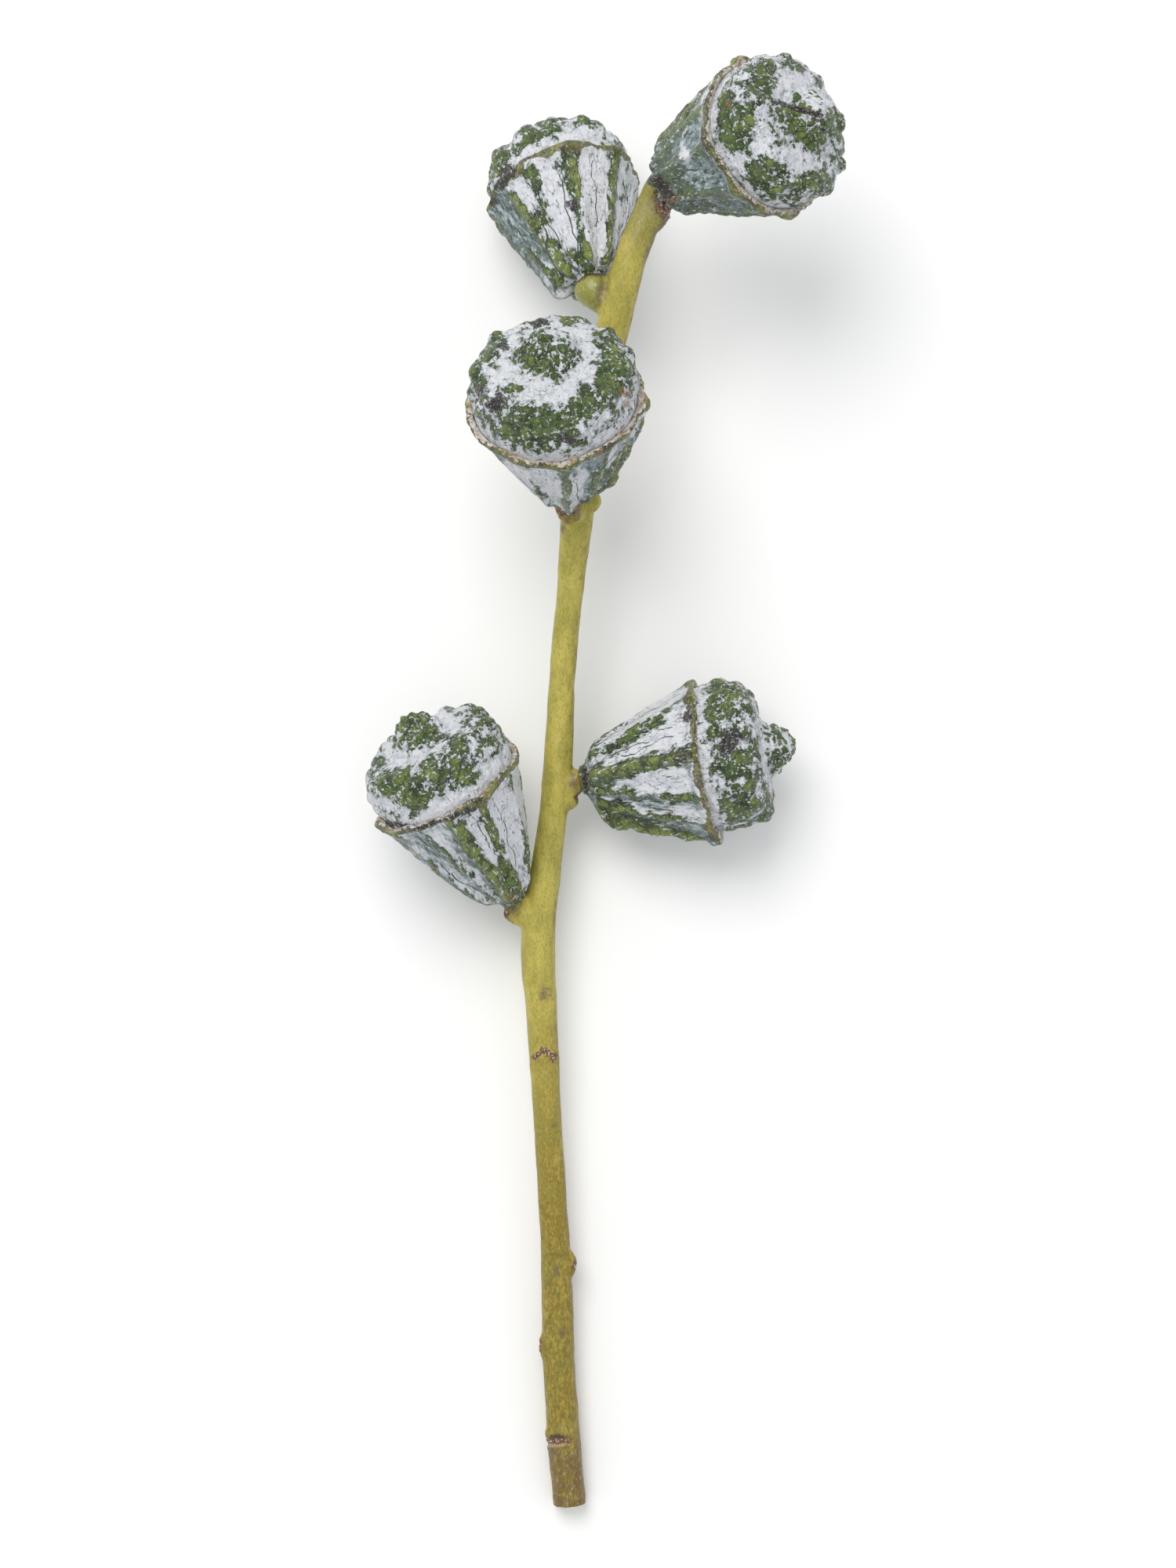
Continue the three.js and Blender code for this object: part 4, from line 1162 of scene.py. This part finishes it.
def gland_tree():
    """Scatters flattened domes over a skin, densest where its `grainy` value is 1."""
    tree, given = node_tree(
        "Glands on a skin",
        {
            "Spacing": "NodeSocketFloat",
            "Density": "NodeSocketFloat",
            "Radius": "NodeSocketFloat",
            "Flatness": "NodeSocketFloat",
            "Seed": "NodeSocketInt",
            "Material": "NodeSocketMaterial",
        },
    )
    share = add(tree, "GeometryNodeInputNamedAttribute", {"data_type": "FLOAT"}, {"Name": "grainy"})
    dots = tree.nodes.new("GeometryNodeDistributePointsOnFaces")
    dots.distribute_method = "POISSON"
    for socket, source in (
        ("Mesh", given["Geometry"]),
        ("Distance Min", given["Spacing"]),
        ("Density Max", given["Density"]),
        ("Density Factor", share),
        ("Seed", given["Seed"]),
    ):
        tree.links.new(source, next(s for s in dots.inputs if s.identifier == socket))
    ball = add(tree, "GeometryNodeMeshIcoSphere", {}, {"Radius": given["Radius"], "Subdivisions": 2})
    dome = add(tree, "GeometryNodeSetShadeSmooth", {}, {"Geometry": ball})
    sizes = {"Min_001": 0.55, "Max_001": 1.25, "Seed": given["Seed"]}
    size = add(tree, "FunctionNodeRandomValue", {"data_type": "FLOAT"}, sizes, RANDOM_NUMBER)
    shape = add(tree, "ShaderNodeCombineXYZ", {}, {"X": 1.0, "Y": 1.0, "Z": given["Flatness"]})
    grown = add(tree, "ShaderNodeVectorMath", {"operation": "SCALE"}, {"Vector": shape, "Scale": size})
    where = {"Points": dots.outputs["Points"], "Rotation": dots.outputs["Rotation"]}
    placed = add(tree, "GeometryNodeInstanceOnPoints", {}, where | {"Instance": dome, "Scale": grown})
    finished(tree, placed, given["Material"])
    return tree


def stem_frame(share):
    """Centre, radius, side and upper direction of the stem at each share of its length."""
    here, ahead, behind = (along(STEM, np.clip(share + step, 0, 1)) for step in (0, 0.004, -0.004))
    run = (ahead - behind)[..., :3]
    run /= np.linalg.norm(run, axis=-1, keepdims=True)
    side = np.cross(run, [0, 0, 1])
    side /= np.linalg.norm(side, axis=-1, keepdims=True)
    return here[..., :3], here[..., 3], run, side, np.cross(side, run)


def stem_share(y):
    """The share of the stem's length at which it passes `y`."""
    dense = np.linspace(0, 1, 1200)
    return np.interp(y, along(STEM, dense)[:, 1], dense)


def stalk_path(nut):
    """A nut's stalk, from just inside its cup back along the nut's axis and round into the stem."""
    length, radius, taper = nut["stalk"]
    base, axis = np.array(nut["base"]), turned_by(nut)[1]
    start = base + STALK_TUCK * axis
    elbow = base - 0.6 * length * axis
    end = stem_frame(stem_share((base - length * axis)[1]))[0]
    share = np.linspace(0, 1, 14)[:, None]
    line = (1 - share) ** 2 * start + 2 * share * (1 - share) * elbow + share**2 * end
    girth = radius * (1 + (taper - 1) * smooth(0.1, 0.9, share)) * (0.7 + 0.3 * smooth(0, 0.12, share))
    return np.hstack([line, girth])


def stem_paths():
    """Paths of the stem, which ends in a rounded top, and of the nuts' stalks: x, y, z and girth."""
    main = along(STEM, np.linspace(0, 1, 150))
    last, girth = main[-1, :3], main[-1, 3]
    tip = last - main[-2, :3]
    tip /= np.linalg.norm(tip)
    rounding = ((0.25, 0.93), (0.5, 0.75), (0.62, 0.5))
    top = [np.append(last + far * tip, share * girth) for far, share in rounding]
    return [np.vstack([main, top])] + [stalk_path(nut) for nut in NUTS]


def path_mesh(paths):
    """The paths as one mesh of edges, with their girth."""
    edges, start = [], 0
    for path in paths:
        edges += [(start + n, start + n + 1) for n in range(len(path) - 1)]
        start += len(path)
    everything = np.vstack(paths)
    mesh = bpy.data.meshes.new("stem_paths")
    mesh.from_pydata(everything[:, :3], edges, [])
    note(mesh, "girth", everything[:, 3])
    return mesh


def knot_mesh():
    """The stem's scars and buds: mounds sunk well into it."""
    rows, columns = 14, 24
    lat = np.linspace(0, math.pi, rows + 2)[1:-1]
    turn = np.linspace(0, TURN, columns, endpoint=False)
    ball = np.stack(
        [
            np.outer(np.sin(lat), np.cos(turn)),
            np.outer(np.sin(lat), np.sin(turn)),
            np.outer(np.cos(lat), np.ones(columns)),
        ],
        axis=-1,
    ).reshape(-1, 3)
    ball = np.vstack([ball, [0, 0, 1], [0, 0, -1]])
    points, faces = [], []
    for y, degrees, long, wide, high in KNOTS:
        centre, radius, run, side, upper = stem_frame(stem_share(y))
        angle = math.radians(degrees)
        out = side * math.sin(angle) + upper * math.cos(angle)
        across = np.cross(run, out)
        sunk = KNOT_DEPTH * radius
        sizes = ball * [wide, long, radius - sunk + high]
        placed = sizes @ np.stack([across, run, out]) + centre + out * sunk
        shift = sum(len(each) for each in points)
        faces += [[shift + n for n in face] for face in closed_skin(placed - centre, rows, columns)]
        points.append(placed)
    mesh = bpy.data.meshes.new("stem_knots")
    mesh.from_pydata(np.vstack(points), [], faces)
    return mesh


def fused_stem(material):
    """The stem with its stalks and scars as the mesh of one smooth skin, in millimetres."""
    tube = made_by(
        path_tube_tree(),
        "stem_tube",
        path_mesh(stem_paths()),
        {"Step": 0.5, "Sides": STEM_SIDES, "Unevenness": 0.22, "Swell Spacing": 5.0},
        material,
    )
    knots = grown_piece("stem_knot_mounds", knot_mesh(), material)
    with bpy.context.temp_override(active_object=tube, selected_editable_objects=[tube, knots]):
        bpy.ops.object.join()
    fuse = tube.modifiers.new("Fuse", "REMESH")
    fuse.mode = "VOXEL"
    fuse.voxel_size = FUSE_VOXEL
    ease = tube.modifiers.new("Ease", "SMOOTH")
    ease.factor = 0.5
    ease.iterations = 8
    bpy.context.view_layer.update()
    mesh = bpy.data.meshes.new_from_object(tube.evaluated_get(bpy.context.evaluated_depsgraph_get()))
    bpy.data.objects.remove(tube)
    mesh.name = "stem_bark"
    return mesh


def stem(material):
    """The fused stem with its fine relief, and what its bark reads."""
    mesh = fused_stem(material)
    points, normals = mesh_points(mesh), point_normals(mesh)
    share = stem_share(points[:, 1])
    centre, radius, run, side, upper = stem_frame(share)
    offset = points - centre
    turn = np.arctan2(np.sum(offset * side, axis=1), np.sum(offset * upper, axis=1))
    reach = np.linalg.norm(offset - run * np.sum(offset * run, axis=1)[:, None], axis=1)
    place, facing = seen(points), smooth(-0.3, 0.1, normals[:, 2])
    wood = {}
    for kind, marks in STEM_MARKS.items():
        wood[kind] = facing * np.max(
            [stroke_cover(place, (x, y), end or (x, y), wide, long) for x, y, wide, long, *end in marks],
            axis=0,
        )
    striped = points * [1.0, 0.2, 1.0]
    fine = 0.05 * drifts(striped, 0.9, 71) + 0.05 * drifts(points, 2.5, 73)
    fine += 0.26 * np.maximum(wood["rust"], wood["pale"]) * drifts(points, 0.55, 75)
    points = points + normals * fine[:, None]
    mesh.vertices.foreach_set("co", into_frame(points).ravel())
    mesh.update()

    note(mesh, "old", 1 - smooth(-65, -10, points[:, 1]))
    # Painted shade: the stem grows darker olive towards its top.
    note(mesh, "painted_top_shade", smooth(63, 72, points[:, 1]))
    right = smooth(0.2, 1.2, turn) * (1 - smooth(2.0, 2.8, turn))
    brown = 0.08 + 0.35 * right + 0.15 * drifts(points, 8.0, 77)
    brown += 0.65 * (1 - smooth(-88, -82, points[:, 1]))
    swollen = smooth(1.25, 1.6, reach / radius)
    brown = np.maximum(brown, 0.68 * swollen * (1 - smooth(50, 60, points[:, 1])))
    note(mesh, "brown", brown)
    wood["pale"] = np.maximum(wood["pale"], 0.5 * (1 - smooth(-86, -83, points[:, 1])))
    for kind, cover in wood.items():
        note(mesh, kind, cover)
    # Glassy young stalks, which also carry the painted highlight specks.
    note(mesh, "fresh_and_glints", smooth(1.1, 1.4, reach / radius) * smooth(55, 60, points[:, 1]))
    cut = smooth(0.8, 0.95, -normals[:, 1])
    note(mesh, "cut", cut * (points[:, 1] < STEM[0][1] + 0.6) * (1 - smooth(0.82, 0.9, reach / radius)))
    return grown_piece("stem_bark_skin", mesh, material)


def kept_inside(piece):
    """Moves what sticks out of the CAD's box back to its sides."""
    points = np.clip(mesh_points(piece.data), np.array(cad_box[0]), np.array(cad_box[1]))
    piece.data.vertices.foreach_set("co", points.ravel())
    piece.data.update()


def dress(piece, slot, *nodes):
    """Hangs a piece from the root, and hides the CAD parts that it takes the place of."""
    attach(piece, "root")
    if nodes:
        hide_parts(*nodes)


def aim(thing, target):
    """Points a light or a camera at a place."""
    thing.rotation_euler = (Vector(target) - thing.location).to_track_quat("-Z", "Y").to_euler()


def soft_light(name, place, size, watts, colour):
    """A round lamp `size` metres across that shines on the sprig."""
    lamp = bpy.data.lights.new(name, "AREA")
    lamp.shape = "DISK"
    lamp.size = size
    lamp.energy = watts
    lamp.color = linear(colour)[:3]
    held = bpy.data.objects.new(name, lamp)
    held.location = place
    bpy.context.scene.collection.objects.link(held)
    aim(held, (0, 0, 0.02))


def table_top():
    """A wide pale table."""
    half = 1.5
    corners = [(-half, -half, 0), (half, -half, 0), (half, half, 0), (-half, half, 0)]
    mesh = bpy.data.meshes.new("table_top")
    mesh.from_pydata(corners, [], [(0, 1, 2, 3)])
    paint = bpy.data.materials.new("white_matt_paint")
    paint.use_nodes = True
    shader = paint.node_tree.nodes["Principled BSDF"]
    shader.inputs["Base Color"].default_value = linear("#fbfbfb")
    shader.inputs["Roughness"].default_value = 0.9
    grown_piece("table_top", mesh, paint)


def studio():
    """The camera over the sprig, as in the photograph, and soft light from the top left."""
    camera = bpy.data.objects.new("camera", bpy.data.cameras.new("camera"))
    camera.data.lens = 99.0
    camera.data.sensor_width = 36.0
    camera.data.clip_start = 0.01
    camera.location = (-PLAN_MIDDLE[0] * MM, -PLAN_MIDDLE[1] * MM, EYE_HEIGHT * MM)
    bpy.context.scene.collection.objects.link(camera)
    bpy.context.scene.camera = camera
    world = bpy.data.worlds.new("pale_room")
    world.use_nodes = True
    room = world.node_tree.nodes["Background"]
    room.inputs["Color"].default_value = linear("#f6f8fa")
    room.inputs["Strength"].default_value = 0.78
    bpy.context.scene.world = world
    soft_light("window_light", place=(-0.2, 0.45, 0.8), size=0.6, watts=4.6, colour="#fffdf8")
    bpy.context.scene.view_settings.view_transform = "Standard"
    table_top()


studio()
cup_rind = waxed_rind("eucalyptus_rind_waxed_cup", 0.35, 0.03)
cap_rind = waxed_rind("eucalyptus_rind_waxed_cap", 1.0, 0.14)
glands = gland_tree()
gland_sizes = {"Spacing": 0.5 * MM, "Density": 0.9e6, "Radius": 0.13 * MM, "Flatness": 0.6}
gland_green = oil_glands()
for nut in NUTS:
    for shape, rind, part in ((cup, cup_rind, "cup"), (cap, cap_rind, "cap")):
        piece = shape(nut, rind)
        name = f"{nut['name']}_{part}_glands"
        dots = made_by(glands, name, piece.data, gland_sizes | {"Seed": nut["seed"]}, gland_green)
        kept_inside(dots)
        dress(piece, f"nut_{part}_wax", f"{nut['name']}_{part}")
        dress(dots, f"nut_{part}_wax")
bark = stem(young_bark())
dress(bark, "stem_bark", "stem")
